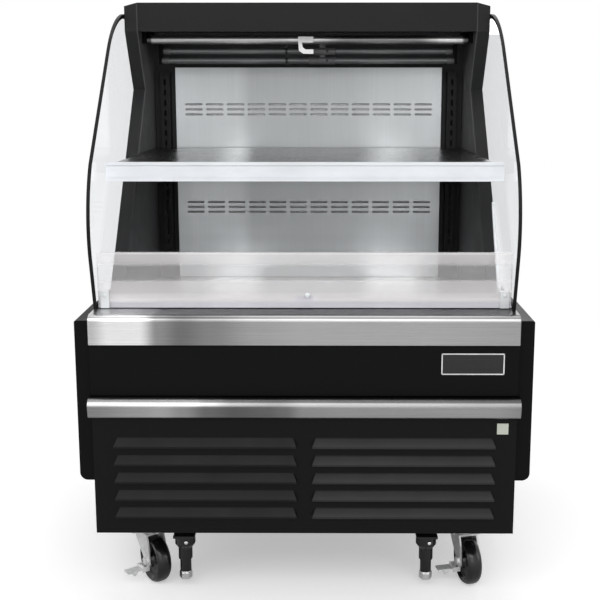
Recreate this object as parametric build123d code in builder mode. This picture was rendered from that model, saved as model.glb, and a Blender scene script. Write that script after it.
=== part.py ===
from build123d import *
import os

os.makedirs("parts", exist_ok=True)

# Refrigerated deli case, open at the front and self-contained. Millimetres, +Z up, the front
# faces -Y. The origin lies on the floor, under the middle of the case.

# ---- Driving dimensions ----------------------------------------------------------------
overall_width = 924
overall_depth = 735
overall_height = 1270
body_width = 857  # front panels, cap and outer faces of the side glass
bumper_width = 865
bumper_standoff = 22  # how far the bumper rail stands out from the front panels
cap_overhang = 8  # how far the cap stands out from the front panels
sheet = 1.5  # folded sheet metal
skin_gap = 0.5  # between neighbouring sheet parts

# Heights above the floor
castor_height = 127
panel_bottom = 172
bumper_bottom = 424
bumper_height = 42
cap_bottom = 573
rim_height = 633  # top of the cap
tub_bottom = 440
tub_floor = 490
deck_height = 589
shelf_height = 926
header_bottom = 1205
roof_bottom = 1240
wall_top = 1262

# Depths behind the front panels
cap_depth = 70
guard_depth = 58
header_depth = 406
back_panel_depth = 600
front_wall_front = 16
front_wall_rear = 66
rear_wall_depth = 622
rear_wall_thickness = 60

# Widths
wall_thickness = 30  # insulated side walls
wall_outer = 421  # outer face of a side wall, from the middle of the case
glass_thickness = 6
back_panel_width = 673

# Base frame and running gear
rail_height = 45
rail_width = 80
front_rail_depth = 100  # front of the rails behind the front panels
tube_wall = 3
castor_inset_side = 78.5  # kingpin from the body's side
castor_inset_end = 150  # kingpin from the front panels
rear_castor_inset = 95  # kingpin from the back of the case
castor_trail = 30
wheel_diameter = 101.6
wheel_width = 32
axle_diameter = 12
kingpin_diameter = 12
running_clearance = 0.05
fork_gap = 2  # between a wheel and each fork leg
fork_leg = 3.5
castor_angle_front_left = 36
castor_angle_front_right = 12.5
castor_angle_rear_left = 158
castor_angle_rear_right = 196
leg_spacing = 522
leg_depth = 95
leg_socket_diameter = 44
leg_sleeve_diameter = 30
leg_sleeve_bottom = 69
foot_diameter = 24
foot_floor_gap = 23  # under a foot that is wound right up
foot_travel = 40
foot_engagement = 9  # thread still held when a foot is wound right down

# Shelf
shelf_width = 776
shelf_front_depth = 128
shelf_thickness = 22
strip_width = 824
strip_height = 40
standard_spacing = 724

# Louvres of the lower front panel
louvre_columns = 2
louvre_rows = 5
louvre_width = 374
louvre_height = 20
louvre_pitch = 37.5
louvre_column_pitch = 402
louvre_first = 56  # lowest louvre's centre above the bottom of the panel
louvre_lift = 10

# Slots of the back panel
slot_columns = 12
slot_rows = 3
slot_length = 43
slot_height = 5
slot_column_pitch = 52.9
slot_row_pitch = 12.7
slot_levels = (773, 1022)

# Lamps and night curtain
lamp_diameter = 14
lamp_lengths = (700, 714)
lamp_depths = (510, 530)
lamp_heights = (1164, 1142)
curtain_bar_diameter = 20
curtain_bar_length = 762
curtain_bar_depth = 468
curtain_bar_height = 1189
roll_diameter = 30
roll_length = 740
roll_journal = 8
roll_depth = 482
roll_height = 1222

# Machinery
fan_diameter = 140
fan_clearance = 5
fan_spacing = 340
fan_depth = 190
fan_level = 540
condenser_width = 330
condenser_height = 240
condenser_thickness = 60
condenser_fan_diameter = 220
compressor_diameter = 170
compressor_height = 190

panel_fold_depth = 12  # folds along the edges of the front panels

# ---- Reference planes ------------------------------------------------------------------
panel_y = -overall_depth / 2 + bumper_standoff
rear_y = overall_depth / 2
half_body = body_width / 2
wall_inner = wall_outer - wall_thickness
bumper_top = bumper_bottom + bumper_height
base_floor = panel_bottom + sheet
wheel_radius = wheel_diameter / 2
castor_x = half_body - castor_inset_side
shelf_bottom = shelf_height - shelf_thickness


def back(distance):
    """Y of a point this far behind the front panels."""
    return panel_y + distance


rear_depth = rear_y - panel_y
rear_castor_depth = rear_depth - rear_castor_inset
wall_rear_depth = rear_wall_depth + rear_wall_thickness


def bar(x_limits, y_limits, z_limits, mode=Mode.ADD):
    """A box between two limits on each axis, added to the part being built."""
    centre = [(low + high) / 2 for low, high in (x_limits, y_limits, z_limits)]
    with Locations(tuple(centre)):
        Box(
            x_limits[1] - x_limits[0],
            y_limits[1] - y_limits[0],
            z_limits[1] - z_limits[0],
            mode=mode,
        )


def write(piece, name):
    """Label a finished sub-part and write its STEP file."""
    piece.label = name
    export_step(piece, f"parts/{name}.step")


# ---- Base frame: two side rails, two cross rails and the floor pan -----------------------
frame_rear_inset = 10
frame_rear = rear_depth - frame_rear_inset
cross_rail_width = 50
cross_rail_middles = (front_rail_depth + cross_rail_width / 2, rear_castor_depth)

with BuildPart() as base_frame:
    for side in (-1, 1):
        middle = side * castor_x
        with BuildSketch(Plane.XZ.offset(-back(front_rail_depth))):
            with Locations((middle, castor_height + rail_height / 2)):
                Rectangle(rail_width, rail_height)
                offset(amount=-tube_wall, mode=Mode.SUBTRACT)
        extrude(amount=-(frame_rear - front_rail_depth))
    cross_half = castor_x - rail_width / 2
    for middle in cross_rail_middles:
        with BuildSketch(Plane.YZ.offset(-cross_half)):
            with Locations((back(middle), castor_height + rail_height / 2)):
                Rectangle(cross_rail_width, rail_height)
                offset(amount=-tube_wall, mode=Mode.SUBTRACT)
        extrude(amount=2 * cross_half)
    bar(
        (-half_body + sheet + skin_gap, half_body - sheet - skin_gap),
        (back(panel_fold_depth + skin_gap), back(wall_rear_depth - 2 * sheet)),
        (panel_bottom, base_floor),
    )
write(base_frame.part, "base_frame")

# ---- Castors ---------------------------------------------------------------------------
castors = {
    "front_left": (-castor_x, castor_inset_end, castor_angle_front_left),
    "front_right": (castor_x, castor_inset_end, castor_angle_front_right),
    "rear_left": (-castor_x, rear_castor_depth, castor_angle_rear_left),
    "rear_right": (castor_x, rear_castor_depth, castor_angle_rear_right),
}
plate_thickness = 4
plate_width = 70
plate_length = 95
plate_corner = 6
race_radius = 26
race_height = 7
race_gap = 0.3
fork_inner = wheel_width / 2 + fork_gap
fork_outer = fork_inner + fork_leg
race_bottom = castor_height - plate_thickness - race_height
fork_disc_height = 6
bridge_thickness = 4
fork_disc_lip = 3
fork_front = 26
fork_back = -30
fork_shoulder = 22
fork_foot = 13  # half width of a fork leg round the axle
fork_foot_drop = 2
fork_waist = 9
kingpin_top_gap = 1
nut_radius = 9.5
nut_height = 6
bridge_top = race_bottom - race_gap - fork_disc_height

with BuildPart() as castor_plates:
    for x, depth, angle in castors.values():
        with BuildSketch(Plane.XY.offset(castor_height - plate_thickness)):
            with Locations((x, back(depth))):
                RectangleRounded(plate_width, plate_length, plate_corner)
        extrude(amount=plate_thickness)
        with BuildSketch(Plane.XY.offset(race_bottom)):
            with Locations((x, back(depth))):
                Circle(race_radius)
        extrude(amount=race_height)
        with Locations((x, back(depth), castor_height - plate_thickness / 2)):
            Hole(kingpin_diameter / 2 + running_clearance)
write(castor_plates.part, "castor_plates")


pedal_pin = 5
pedal_pin_x = 33
pedal_height = 38
pedal_reach = 38
pedal_half_width = 11
pedal_front = -castor_trail - pedal_half_width
pedal_rear = -castor_trail + pedal_half_width
pedal_plate = 3
pedal_barrel_wall = 2.2
pedal_rib_drop = 9
pedal_rib = (0.35, 0.5, 0.62, 0.72)  # corners of the rib, as shares of the pedal's reach
ear_thickness = 3
ear_half_height = 5
ear_margin = 4.5


def castor_pose(x, depth, angle):
    """Where a castor stands: it is drawn about its kingpin, with the wheel towards -Y."""
    return Location((x, back(depth), 0), (0, 0, angle))


def castor_fork(name, x, depth, angle, has_brake):
    """Fork turned to its angle, with its kingpin, the wheel's axle bolt and the brake's ears."""
    with BuildPart() as fork:
        for leg in (-fork_outer, fork_inner):
            with BuildSketch(Plane.YZ.offset(leg)):
                with BuildLine():
                    Polyline(
                        (fork_front, bridge_top),
                        (fork_shoulder, bridge_top - fork_shoulder),
                        (-castor_trail + fork_foot, wheel_radius - fork_foot_drop),
                        (-castor_trail - fork_foot, wheel_radius - fork_foot_drop),
                        (-castor_trail - fork_waist, bridge_top - fork_shoulder),
                        (fork_back, bridge_top),
                        close=True,
                    )
                make_face()
                with Locations((-castor_trail, wheel_radius - fork_foot_drop)):
                    Circle(fork_foot)
                with Locations((-castor_trail, wheel_radius)):
                    Circle(axle_diameter / 2 + running_clearance, mode=Mode.SUBTRACT)
            extrude(amount=fork_leg)
        bar((-fork_outer, fork_outer), (fork_back, fork_front), (bridge_top - bridge_thickness, bridge_top))
        with BuildSketch(Plane.XY.offset(bridge_top)):
            Circle(race_radius + fork_disc_lip)
        extrude(amount=fork_disc_height)
        with BuildSketch(Plane.XY.offset(bridge_top + fork_disc_height)):
            Circle(kingpin_diameter / 2)
        extrude(amount=castor_height - kingpin_top_gap - bridge_top - fork_disc_height)
        with BuildSketch(Plane.YZ.offset(-fork_outer)):
            with Locations((-castor_trail, wheel_radius)):
                Circle(axle_diameter / 2)
        extrude(amount=2 * fork_outer)
        for start, reach in ((-fork_outer, -nut_height), (fork_outer, nut_height)):
            with BuildSketch(Plane.YZ.offset(start)):
                with Locations((-castor_trail, wheel_radius)):
                    RegularPolygon(nut_radius, 6)
            extrude(amount=reach)
        if has_brake:
            for ear in (pedal_front - ear_thickness, pedal_rear):
                bar(
                    (-pedal_pin_x - ear_margin, -fork_outer),
                    (ear, ear + ear_thickness),
                    (pedal_height - ear_half_height, pedal_height + ear_half_height),
                )
            with BuildSketch(Plane.XZ.offset(-pedal_front)):
                with Locations((-pedal_pin_x, pedal_height)):
                    Circle(pedal_pin / 2)
            extrude(amount=pedal_front - pedal_rear)
    write(fork.part.moved(castor_pose(x, depth, angle)), name)


tread_radius = 5
wheel_rim = 12
wheel_dish = 7
wheel_hub_radius = 15


def castor_wheel(name, x, depth, angle):
    """Solid wheel with a dished face on each side and a hub that reaches the fork legs."""
    hub_half = fork_inner - race_gap
    with BuildPart() as wheel:
        with BuildSketch(Plane.YZ.offset(-wheel_width / 2)):
            with Locations((-castor_trail, wheel_radius)):
                Circle(wheel_radius)
        extrude(amount=wheel_width)
        fillet(wheel.edges().filter_by(GeomType.CIRCLE), radius=tread_radius)
        for face, depth_sign in ((-wheel_width / 2, 1), (wheel_width / 2, -1)):
            with BuildSketch(Plane.YZ.offset(face)):
                with Locations((-castor_trail, wheel_radius)):
                    Circle(wheel_radius - wheel_rim)
                    Circle(wheel_hub_radius, mode=Mode.SUBTRACT)
            extrude(amount=depth_sign * wheel_dish, mode=Mode.SUBTRACT)
        with BuildSketch(Plane.YZ.offset(-hub_half)):
            with Locations((-castor_trail, wheel_radius)):
                Circle(wheel_hub_radius)
        extrude(amount=2 * hub_half)
        with BuildSketch(Plane.YZ.offset(-hub_half)):
            with Locations((-castor_trail, wheel_radius)):
                Circle(axle_diameter / 2 + running_clearance)
        extrude(amount=2 * hub_half, mode=Mode.SUBTRACT)
    write(wheel.part.moved(castor_pose(x, depth, angle)), name)


def brake_pedal(name, x, depth, angle):
    """Foot lever on the outside of a front fork; its barrel turns on the pin between the ears."""
    with BuildPart() as pedal:
        with BuildSketch(Plane.XZ.offset(-pedal_front - skin_gap)):
            with Locations((-pedal_pin_x, pedal_height)):
                Circle(pedal_pin / 2 + pedal_barrel_wall)
            with Locations((-pedal_pin_x - pedal_reach / 2, pedal_height)):
                Rectangle(pedal_reach, pedal_plate)
            with BuildLine():
                Polyline(
                    (-pedal_pin_x - pedal_reach * pedal_rib[0], pedal_height),
                    (-pedal_pin_x - pedal_reach * pedal_rib[1], pedal_height - pedal_rib_drop),
                    (-pedal_pin_x - pedal_reach * pedal_rib[2], pedal_height - pedal_rib_drop),
                    (-pedal_pin_x - pedal_reach * pedal_rib[3], pedal_height),
                    close=True,
                )
            make_face()
            with Locations((-pedal_pin_x, pedal_height)):
                Circle(pedal_pin / 2 + running_clearance, mode=Mode.SUBTRACT)
        extrude(amount=-(pedal_rear - pedal_front - 2 * skin_gap))
    write(pedal.part.moved(castor_pose(x, depth, angle)), name)


for corner, placing in castors.items():
    castor_fork(f"castor_fork_{corner}", *placing, has_brake=corner.startswith("front"))
    castor_wheel(f"castor_wheel_{corner}", *placing)
for side in ("left", "right"):
    brake_pedal(f"brake_pedal_{side}", *castors[f"front_{side}"])

# ---- Levelling legs: fixed sockets under the front cross rail and threaded feet ----------
leg_plate_width = 46
leg_plate_front = 22  # in front of the leg's middle
leg_plate_rear = 45
leg_plate_thickness = 5
socket_taper_top = 104
socket_taper_bottom = 94
foot_top = leg_sleeve_bottom + foot_travel + foot_engagement
foot_chamfer = 1.5

with BuildPart() as leg_sockets:
    for side in (-1, 1):
        leg_x = side * leg_spacing / 2
        bar(
            (leg_x - leg_plate_width / 2, leg_x + leg_plate_width / 2),
            (back(leg_depth - leg_plate_front), back(leg_depth + leg_plate_rear)),
            (castor_height - leg_plate_thickness, castor_height),
        )
        with BuildSketch(Plane.XZ.offset(-back(leg_depth))):
            middle = side * leg_spacing / 2
            bore = middle + foot_diameter / 2 + race_gap
            with BuildLine():
                Polyline(
                    (bore, castor_height - leg_plate_thickness),
                    (middle + leg_socket_diameter / 2, castor_height - leg_plate_thickness),
                    (middle + leg_socket_diameter / 2, socket_taper_top),
                    (middle + leg_sleeve_diameter / 2, socket_taper_bottom),
                    (middle + leg_sleeve_diameter / 2, leg_sleeve_bottom),
                    (bore, leg_sleeve_bottom),
                    close=True,
                )
            make_face()
        revolve(axis=Axis((middle, back(leg_depth), 0), (0, 0, 1)))
write(leg_sockets.part, "leg_sockets")

for side, name in ((-1, "left"), (1, "right")):
    with BuildPart() as levelling_foot:
        with BuildSketch(Plane.XY.offset(foot_floor_gap)):
            with Locations((side * leg_spacing / 2, back(leg_depth))):
                Circle(foot_diameter / 2)
        extrude(amount=foot_top - foot_floor_gap)
        chamfer(levelling_foot.edges().group_by(Axis.Z)[0], length=foot_chamfer)
    write(levelling_foot.part, f"levelling_foot_{name}")

# ---- Outer casing ------------------------------------------------------------------------

with BuildPart() as body_sides:
    for side in (-1, 1):
        limits = tuple(sorted((side * (half_body - sheet), side * half_body)))
        folds = tuple(sorted((side * wall_outer, side * half_body)))
        under_cap = rim_height - sheet
        bar(limits, (back(sheet), back(wall_rear_depth)), (panel_bottom, under_cap))
        bar(
            limits,
            (back(sheet), back(front_wall_front + skin_gap)),
            (bumper_bottom - skin_gap, bumper_top + skin_gap),
            mode=Mode.SUBTRACT,
        )
        bar(folds, (back(sheet), back(2 * sheet)), (panel_bottom, bumper_bottom - skin_gap))
        bar(
            folds,
            (back(wall_rear_depth - sheet), back(wall_rear_depth)),
            (panel_bottom, rim_height),
        )
        bar(
            folds,
            (back(cap_depth + skin_gap), back(wall_rear_depth)),
            (under_cap, rim_height),
        )
write(body_sides.part, "body_sides")

end_panel_sheet = 2
end_panel_return = 20  # folds of the long edges
end_panel_top_corner = 4
end_panel_front = 17
end_panel_bottom = 280
end_panel_top = 617
end_panel_corner = 16

for side, name in ((-1, "left"), (1, "right")):
    inner = side * half_body
    outer = side * overall_width / 2
    with BuildPart() as end_panel:
        bar(
            tuple(sorted((inner, outer))),
            (back(end_panel_front), back(wall_rear_depth)),
            (end_panel_bottom, end_panel_top),
        )
        outside = end_panel.faces().sort_by(Axis.X)[0 if side < 0 else -1]
        fillet(outside.edges().filter_by(Axis.Y).sort_by(Axis.Z)[0], radius=end_panel_corner)
        fillet(
            end_panel.faces().sort_by(Axis.X)[0 if side < 0 else -1].edges().sort_by(Axis.Z)[-1],
            radius=end_panel_top_corner,
        )
        inside = end_panel.faces().sort_by(Axis.X)[-1 if side < 0 else 0]
        offset(amount=-end_panel_sheet, openings=inside)
        bar(
            tuple(sorted((inner, inner + side * end_panel_sheet))),
            (
                back(end_panel_front + end_panel_sheet),
                back(end_panel_front + end_panel_sheet + end_panel_return),
            ),
            (end_panel_bottom + end_panel_sheet, end_panel_top - end_panel_sheet),
        )
        bar(
            tuple(sorted((inner, inner + side * end_panel_sheet))),
            (
                back(wall_rear_depth - end_panel_sheet - end_panel_return),
                back(wall_rear_depth - end_panel_sheet),
            ),
            (end_panel_bottom + end_panel_sheet, end_panel_top - end_panel_sheet),
        )
    write(end_panel.part, f"end_panel_{name}")

rail_gap = 0.2  # between the bumper rail and the panel above it
with BuildPart() as upper_front_panel:
    with BuildSketch(Plane.YZ.offset(-half_body)):
        with BuildLine():
            Polyline(
                (back(panel_fold_depth), bumper_top + rail_gap),
                (back(0), bumper_top + rail_gap),
                (back(0), cap_bottom - skin_gap),
                (back(panel_fold_depth), cap_bottom - skin_gap),
                (back(panel_fold_depth), cap_bottom - skin_gap - sheet),
                (back(sheet), cap_bottom - skin_gap - sheet),
                (back(sheet), bumper_top + rail_gap + sheet),
                (back(panel_fold_depth), bumper_top + rail_gap + sheet),
                close=True,
            )
        make_face()
    extrude(amount=body_width)
    for side in (-1, 1):
        bar(
            tuple(sorted((side * (half_body - sheet - skin_gap), side * half_body))),
            (back(sheet), back(panel_fold_depth)),
            (bumper_top, cap_bottom),
            mode=Mode.SUBTRACT,
        )
write(upper_front_panel.part, "upper_front_panel")

# Bumper rail: a hollow section with a rounded upper half, closed by end caps.
rail_shell = 1.2
rail_crown_radius = 18.4
rail_crown_turn = -76
rail_crown_start = 0.55  # share of the rail's height
rail_cap = 2
rail_heel = 9
rail_heel_front = 3
rail_heel_rise = 5
rail_heel_radius = 7
with BuildPart() as bumper_rail:
    for inset, start, mode in ((0, 0, Mode.ADD), (rail_shell, rail_cap, Mode.SUBTRACT)):
        with BuildSketch(Plane.YZ.offset(start - bumper_width / 2)):
            with BuildLine():
                crown = bumper_bottom + rail_crown_start * bumper_height
                front = back(-bumper_standoff)
                seat = back(front_wall_front)
                upper = JernArc((front, crown), (0, 1), rail_crown_radius, rail_crown_turn)
                Line(upper @ 1, (seat, bumper_top))
                heel = (front + rail_heel, bumper_bottom)
                shin = (front + rail_heel_front, bumper_bottom + rail_heel_rise)
                Polyline((seat, bumper_top), (seat, bumper_bottom), heel)
                RadiusArc(heel, shin, rail_heel_radius)
                Line(shin, (front, crown))
            make_face()
            if inset:
                offset(amount=-inset)
        extrude(amount=bumper_width - 2 * start, mode=mode)
write(bumper_rail.part, "bumper_rail")

# Front cap: folded sheet over the front wall of the tub, with a round nose.
cap_nose = 13
cap_flange = 33
cap_end_height = 30  # how far each end cheek reaches down from the top
with BuildPart() as front_cap:
    with BuildSketch(Plane.YZ.offset(-half_body)):
        with BuildLine():
            Line((back(sheet - skin_gap), cap_bottom), (back(-cap_overhang), cap_bottom))
            Line((back(-cap_overhang), cap_bottom), (back(-cap_overhang), rim_height - cap_nose))
            RadiusArc(
                (back(-cap_overhang), rim_height - cap_nose),
                (back(cap_nose - cap_overhang), rim_height),
                cap_nose,
            )
            Line((back(cap_nose - cap_overhang), rim_height), (back(cap_depth), rim_height))
            Line((back(cap_depth), rim_height), (back(cap_depth), rim_height - cap_flange))
            inner_nose = cap_nose - sheet
            Line(
                (back(cap_depth), rim_height - cap_flange),
                (back(cap_depth - sheet), rim_height - cap_flange),
            )
            Line(
                (back(cap_depth - sheet), rim_height - cap_flange),
                (back(cap_depth - sheet), rim_height - sheet),
            )
            Line(
                (back(cap_depth - sheet), rim_height - sheet),
                (back(cap_nose - cap_overhang), rim_height - sheet),
            )
            RadiusArc(
                (back(cap_nose - cap_overhang), rim_height - sheet),
                (back(sheet - cap_overhang), rim_height - cap_nose),
                -inner_nose,
            )
            Line(
                (back(sheet - cap_overhang), rim_height - cap_nose),
                (back(sheet - cap_overhang), cap_bottom + sheet),
            )
            Line(
                (back(sheet - cap_overhang), cap_bottom + sheet),
                (back(sheet - skin_gap), cap_bottom + sheet),
            )
            Line((back(sheet - skin_gap), cap_bottom + sheet), (back(sheet - skin_gap), cap_bottom))
        make_face()
    extrude(amount=body_width)
    for side in (-1, 1):
        with BuildSketch(Plane.YZ.offset(side * half_body)):
            with BuildLine():
                Line((back(0), cap_bottom + sheet), (back(sheet - cap_overhang), cap_bottom + sheet))
                Line(
                    (back(sheet - cap_overhang), cap_bottom + sheet),
                    (back(sheet - cap_overhang), rim_height - cap_nose),
                )
                RadiusArc(
                    (back(sheet - cap_overhang), rim_height - cap_nose),
                    (back(cap_nose - cap_overhang), rim_height - sheet),
                    inner_nose,
                )
                Line(
                    (back(cap_nose - cap_overhang), rim_height - sheet),
                    (back(cap_nose - cap_overhang), rim_height - sheet - cap_end_height),
                )
                Line(
                    (back(cap_nose - cap_overhang), rim_height - sheet - cap_end_height),
                    (back(0), rim_height - sheet - cap_end_height),
                )
                Line((back(0), rim_height - sheet - cap_end_height), (back(0), cap_bottom + sheet))
            make_face()
        extrude(amount=-side * sheet)
        bar(
            tuple(sorted((side * wall_outer, side * half_body))),
            (back(-skin_gap), back(cap_depth)),
            (cap_bottom + sheet, rim_height - sheet),
            mode=Mode.SUBTRACT,
        )
write(front_cap.part, "front_cap")

# Lower front panel: one folded sheet with rows of pressed louvres.
panel_top = bumper_bottom - skin_gap
panel_low = panel_bottom
louvre_lip = 4
louvre_ease = 2  # the lip is shorter than the foot of the louvre by this at each end
louvre_end_angle = 65.8  # the ends lean in from the lip to the top

with BuildPart() as louvre_hood:
    with BuildSketch(Plane.XZ):
        Trapezoid(louvre_width, louvre_height, louvre_end_angle)
    with BuildSketch(Plane.XZ.offset(louvre_lift)):
        with Locations((0, (louvre_lip - louvre_height) / 2)):
            Rectangle(louvre_width - 2 * louvre_ease, louvre_lip)
    loft()
with BuildPart() as louvre_hollow:
    with BuildSketch(Plane.XZ.offset(-sheet)):
        with Locations((0, -sheet / 2)):
            Trapezoid(louvre_width - 2 * sheet, louvre_height - sheet, louvre_end_angle)
    with BuildSketch(Plane.XZ.offset(louvre_lift - sheet)):
        with Locations((0, (louvre_lip - louvre_height - sheet) / 2)):
            Rectangle(louvre_width - 2 * louvre_ease - 2 * sheet, louvre_lip - sheet)
    loft()


def louvre_places():
    """Middle of every louvre on the panel, as X and Z."""
    places = []
    for column in range(louvre_columns):
        x = (column - (louvre_columns - 1) / 2) * louvre_column_pitch
        for row in range(louvre_rows):
            places.append((x, panel_low + louvre_first - louvre_height / 2 + row * louvre_pitch))
    return places


with BuildPart() as front_grille:
    bar(
        (-half_body, half_body),
        (back(0), back(sheet)),
        (panel_low, panel_top),
    )
    for x, z in louvre_places():
        add(louvre_hood.part.moved(Location((x, back(0), z))))
        add(louvre_hollow.part.moved(Location((x, back(0), z))), mode=Mode.SUBTRACT)
    for low, high in ((panel_low, panel_low + sheet), (panel_top - sheet, panel_top)):
        bar((-wall_outer, wall_outer), (back(sheet), back(panel_fold_depth)), (low, high))
write(front_grille.part, "front_grille")

# Rear cover: a full-height pan whose lower half is slotted for the condenser's air.
vent_rows = 12
vent_pitch = 18
vent_columns = 3
vent_length = 180
vent_height = 7
vent_first = 200
cover_half = wall_outer
gland_hole = 22
vent_column_gap = 40
top_vent_rows = 3
top_vent_drop = 70
gland_inset = 60
gland_drop = 5
gland_place = (cover_half - gland_inset, vent_first - gland_drop)

with BuildPart() as rear_cover:
    bar((-cover_half, cover_half), (back(wall_rear_depth), rear_y), (panel_bottom, wall_top))
    front_face = rear_cover.faces().sort_by(Axis.Y)[0]
    offset(amount=-sheet, openings=front_face)
    with BuildSketch(Plane.XZ.offset(-rear_y)):
        with Locations((0, vent_first + (vent_rows - 1) * vent_pitch / 2)):
            with GridLocations(vent_length + vent_column_gap, vent_pitch, vent_columns, vent_rows):
                SlotOverall(vent_length, vent_height)
    extrude(amount=2 * sheet, mode=Mode.SUBTRACT)
    with BuildSketch(Plane.XZ.offset(-rear_y)):
        with Locations((0, wall_top - top_vent_drop)):
            with GridLocations(vent_length + vent_column_gap, vent_pitch, vent_columns, top_vent_rows):
                SlotOverall(vent_length, vent_height)
    extrude(amount=2 * sheet, mode=Mode.SUBTRACT)
    with BuildSketch(Plane.XZ.offset(-rear_y)):
        with Locations(gland_place):
            Circle(gland_hole / 2)
    extrude(amount=2 * sheet, mode=Mode.SUBTRACT)
write(rear_cover.part, "rear_cover")

# ---- Insulated cabinet -------------------------------------------------------------------
drain_x = 0
drain_depth = 520
drain_diameter = 25
drain_wall = 2

suction_place = (365, 448)
liquid_place = (380, 470)
suction_radius = 4
liquid_radius = 3


def floor_holes():
    """Holes through the tub's floor for the drain and the two refrigerant lines."""
    places = (
        ((drain_x, drain_depth), drain_diameter / 2),
        (suction_place, suction_radius),
        (liquid_place, liquid_radius),
    )
    for (x, depth), radius in places:
        with Locations((x, back(depth))):
            Circle(radius + race_gap)


with BuildPart() as insulated_body:
    with BuildSketch(Plane.YZ.offset(-wall_inner)):
        with BuildLine():
            Polyline(
                (back(front_wall_front), tub_bottom),
                (back(wall_rear_depth), tub_bottom),
                (back(wall_rear_depth), roof_bottom),
                (back(rear_wall_depth), roof_bottom),
                (back(rear_wall_depth), tub_floor),
                (back(front_wall_rear), tub_floor),
                (back(front_wall_rear), rim_height - sheet),
                (back(cap_nose - cap_overhang + skin_gap), rim_height - sheet),
                (back(cap_nose - cap_overhang + skin_gap), cap_bottom + 2 * sheet),
                (back(front_wall_front), cap_bottom + 2 * sheet),
                close=True,
            )
        make_face()
    extrude(amount=2 * wall_inner)
    with BuildSketch(Plane.XY.offset(tub_bottom)):
        floor_holes()
    extrude(amount=tub_floor - tub_bottom, mode=Mode.SUBTRACT)
write(insulated_body.part, "insulated_body")

deck_fold = 25
ledge_top = deck_height - deck_fold
ledge_width = 22
rear_ledge_extra = 12

with BuildPart() as tank_liner:
    with BuildSketch(Plane.YZ.offset(-wall_inner)):
        with BuildLine():
            Polyline(
                (back(front_wall_rear), rim_height - 2 * sheet),
                (back(front_wall_rear), tub_floor),
                (back(rear_wall_depth), tub_floor),
                (back(rear_wall_depth), roof_bottom),
                (back(rear_wall_depth - sheet), roof_bottom),
                (back(rear_wall_depth - sheet), tub_floor + sheet),
                (back(front_wall_rear + sheet), tub_floor + sheet),
                (back(front_wall_rear + sheet), rim_height - 2 * sheet),
                close=True,
            )
        make_face()
    extrude(amount=2 * wall_inner)
    bar(
        (-wall_inner, wall_inner),
        (back(front_wall_rear + sheet), back(front_wall_rear + ledge_width)),
        (ledge_top - sheet, ledge_top),
    )
    bar(
        (-wall_inner, wall_inner),
        (back(rear_wall_depth - ledge_width - rear_ledge_extra), back(rear_wall_depth - sheet)),
        (ledge_top - sheet, ledge_top),
    )
    with BuildSketch(Plane.XY.offset(tub_floor)):
        floor_holes()
    extrude(amount=sheet, mode=Mode.SUBTRACT)
write(tank_liner.part, "tank_liner")

# Side walls: foam-filled, with a front edge that runs back to a blunt corner and out again.
throat_depth = 486
throat_height = 1072
wall_foot_depth = 160
throat_radius = 55

for side, name in ((-1, "left"), (1, "right")):
    with BuildPart() as side_wall:
        with BuildSketch(Plane.YZ.offset(side * wall_inner)) as wall_outline:
            with BuildLine():
                Polyline(
                    (back(header_depth), wall_top),
                    (back(header_depth), header_bottom),
                    (back(throat_depth), throat_height),
                    (back(wall_foot_depth), rim_height),
                    (back(cap_depth + skin_gap), rim_height),
                    (back(cap_depth + skin_gap), rim_height - cap_flange - sheet),
                    (back(front_wall_front), rim_height - cap_flange - sheet),
                    (back(front_wall_front), tub_bottom),
                    (back(wall_rear_depth), tub_bottom),
                    (back(wall_rear_depth), wall_top),
                    close=True,
                )
            make_face()
            throat = [v for v in wall_outline.vertices() if abs(v.Z - throat_height) < skin_gap]
            fillet(throat, radius=throat_radius)
        extrude(amount=side * wall_thickness)
        with BuildSketch(Plane.XZ.offset(-back(header_depth))):
            with BuildLine():
                Polyline(
                    (side * wall_inner, wall_top),
                    (side * wall_inner, overall_height),
                    (side * wall_outer, wall_top),
                    close=True,
                )
            make_face()
        extrude(amount=-(wall_rear_depth - header_depth))
    write(side_wall.part, f"side_wall_{name}")

# Roof slab between the side walls.
header_flange = 34
header_lip = 12
roof_front = header_depth + header_flange
with BuildPart() as roof:
    bar(
        (-wall_inner, wall_inner),
        (back(roof_front), back(wall_rear_depth)),
        (roof_bottom, overall_height),
    )
write(roof.part, "roof")

# Header: front fascia between the side walls, with a top flange and a short bottom lip.
with BuildPart() as header:
    bar(
        (-wall_inner, wall_inner),
        (back(header_depth), back(header_depth + sheet)),
        (header_bottom, overall_height),
    )
    bar(
        (-wall_inner, wall_inner),
        (back(header_depth + sheet), back(roof_front)),
        (overall_height - sheet, overall_height),
    )
    bar(
        (-wall_inner, wall_inner),
        (back(header_depth + sheet), back(header_depth + header_lip)),
        (header_bottom, header_bottom + sheet),
    )
write(header.part, "header")

# Air outlet: a honeycomb strip behind the fascia's lip.
outlet_front = header_depth + header_lip
outlet_rear_gap = 18
outlet_rear = curtain_bar_depth - outlet_rear_gap
outlet_height = 12
outlet_cell = 9
outlet_pitch_x = 11
outlet_pitch_y = 10.5
outlet_columns = 68
outlet_rows = 3
with BuildPart() as air_outlet:
    bar(
        (-wall_inner, wall_inner),
        (back(outlet_front), back(outlet_rear)),
        (header_bottom, header_bottom + outlet_height),
    )
    with BuildSketch(Plane.XY.offset(header_bottom)):
        with Locations((0, back((outlet_front + outlet_rear) / 2))):
            with GridLocations(outlet_pitch_x, outlet_pitch_y, outlet_columns, outlet_rows):
                Rectangle(outlet_cell, outlet_cell)
    extrude(amount=outlet_height, mode=Mode.SUBTRACT)
write(air_outlet.part, "air_outlet")

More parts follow.
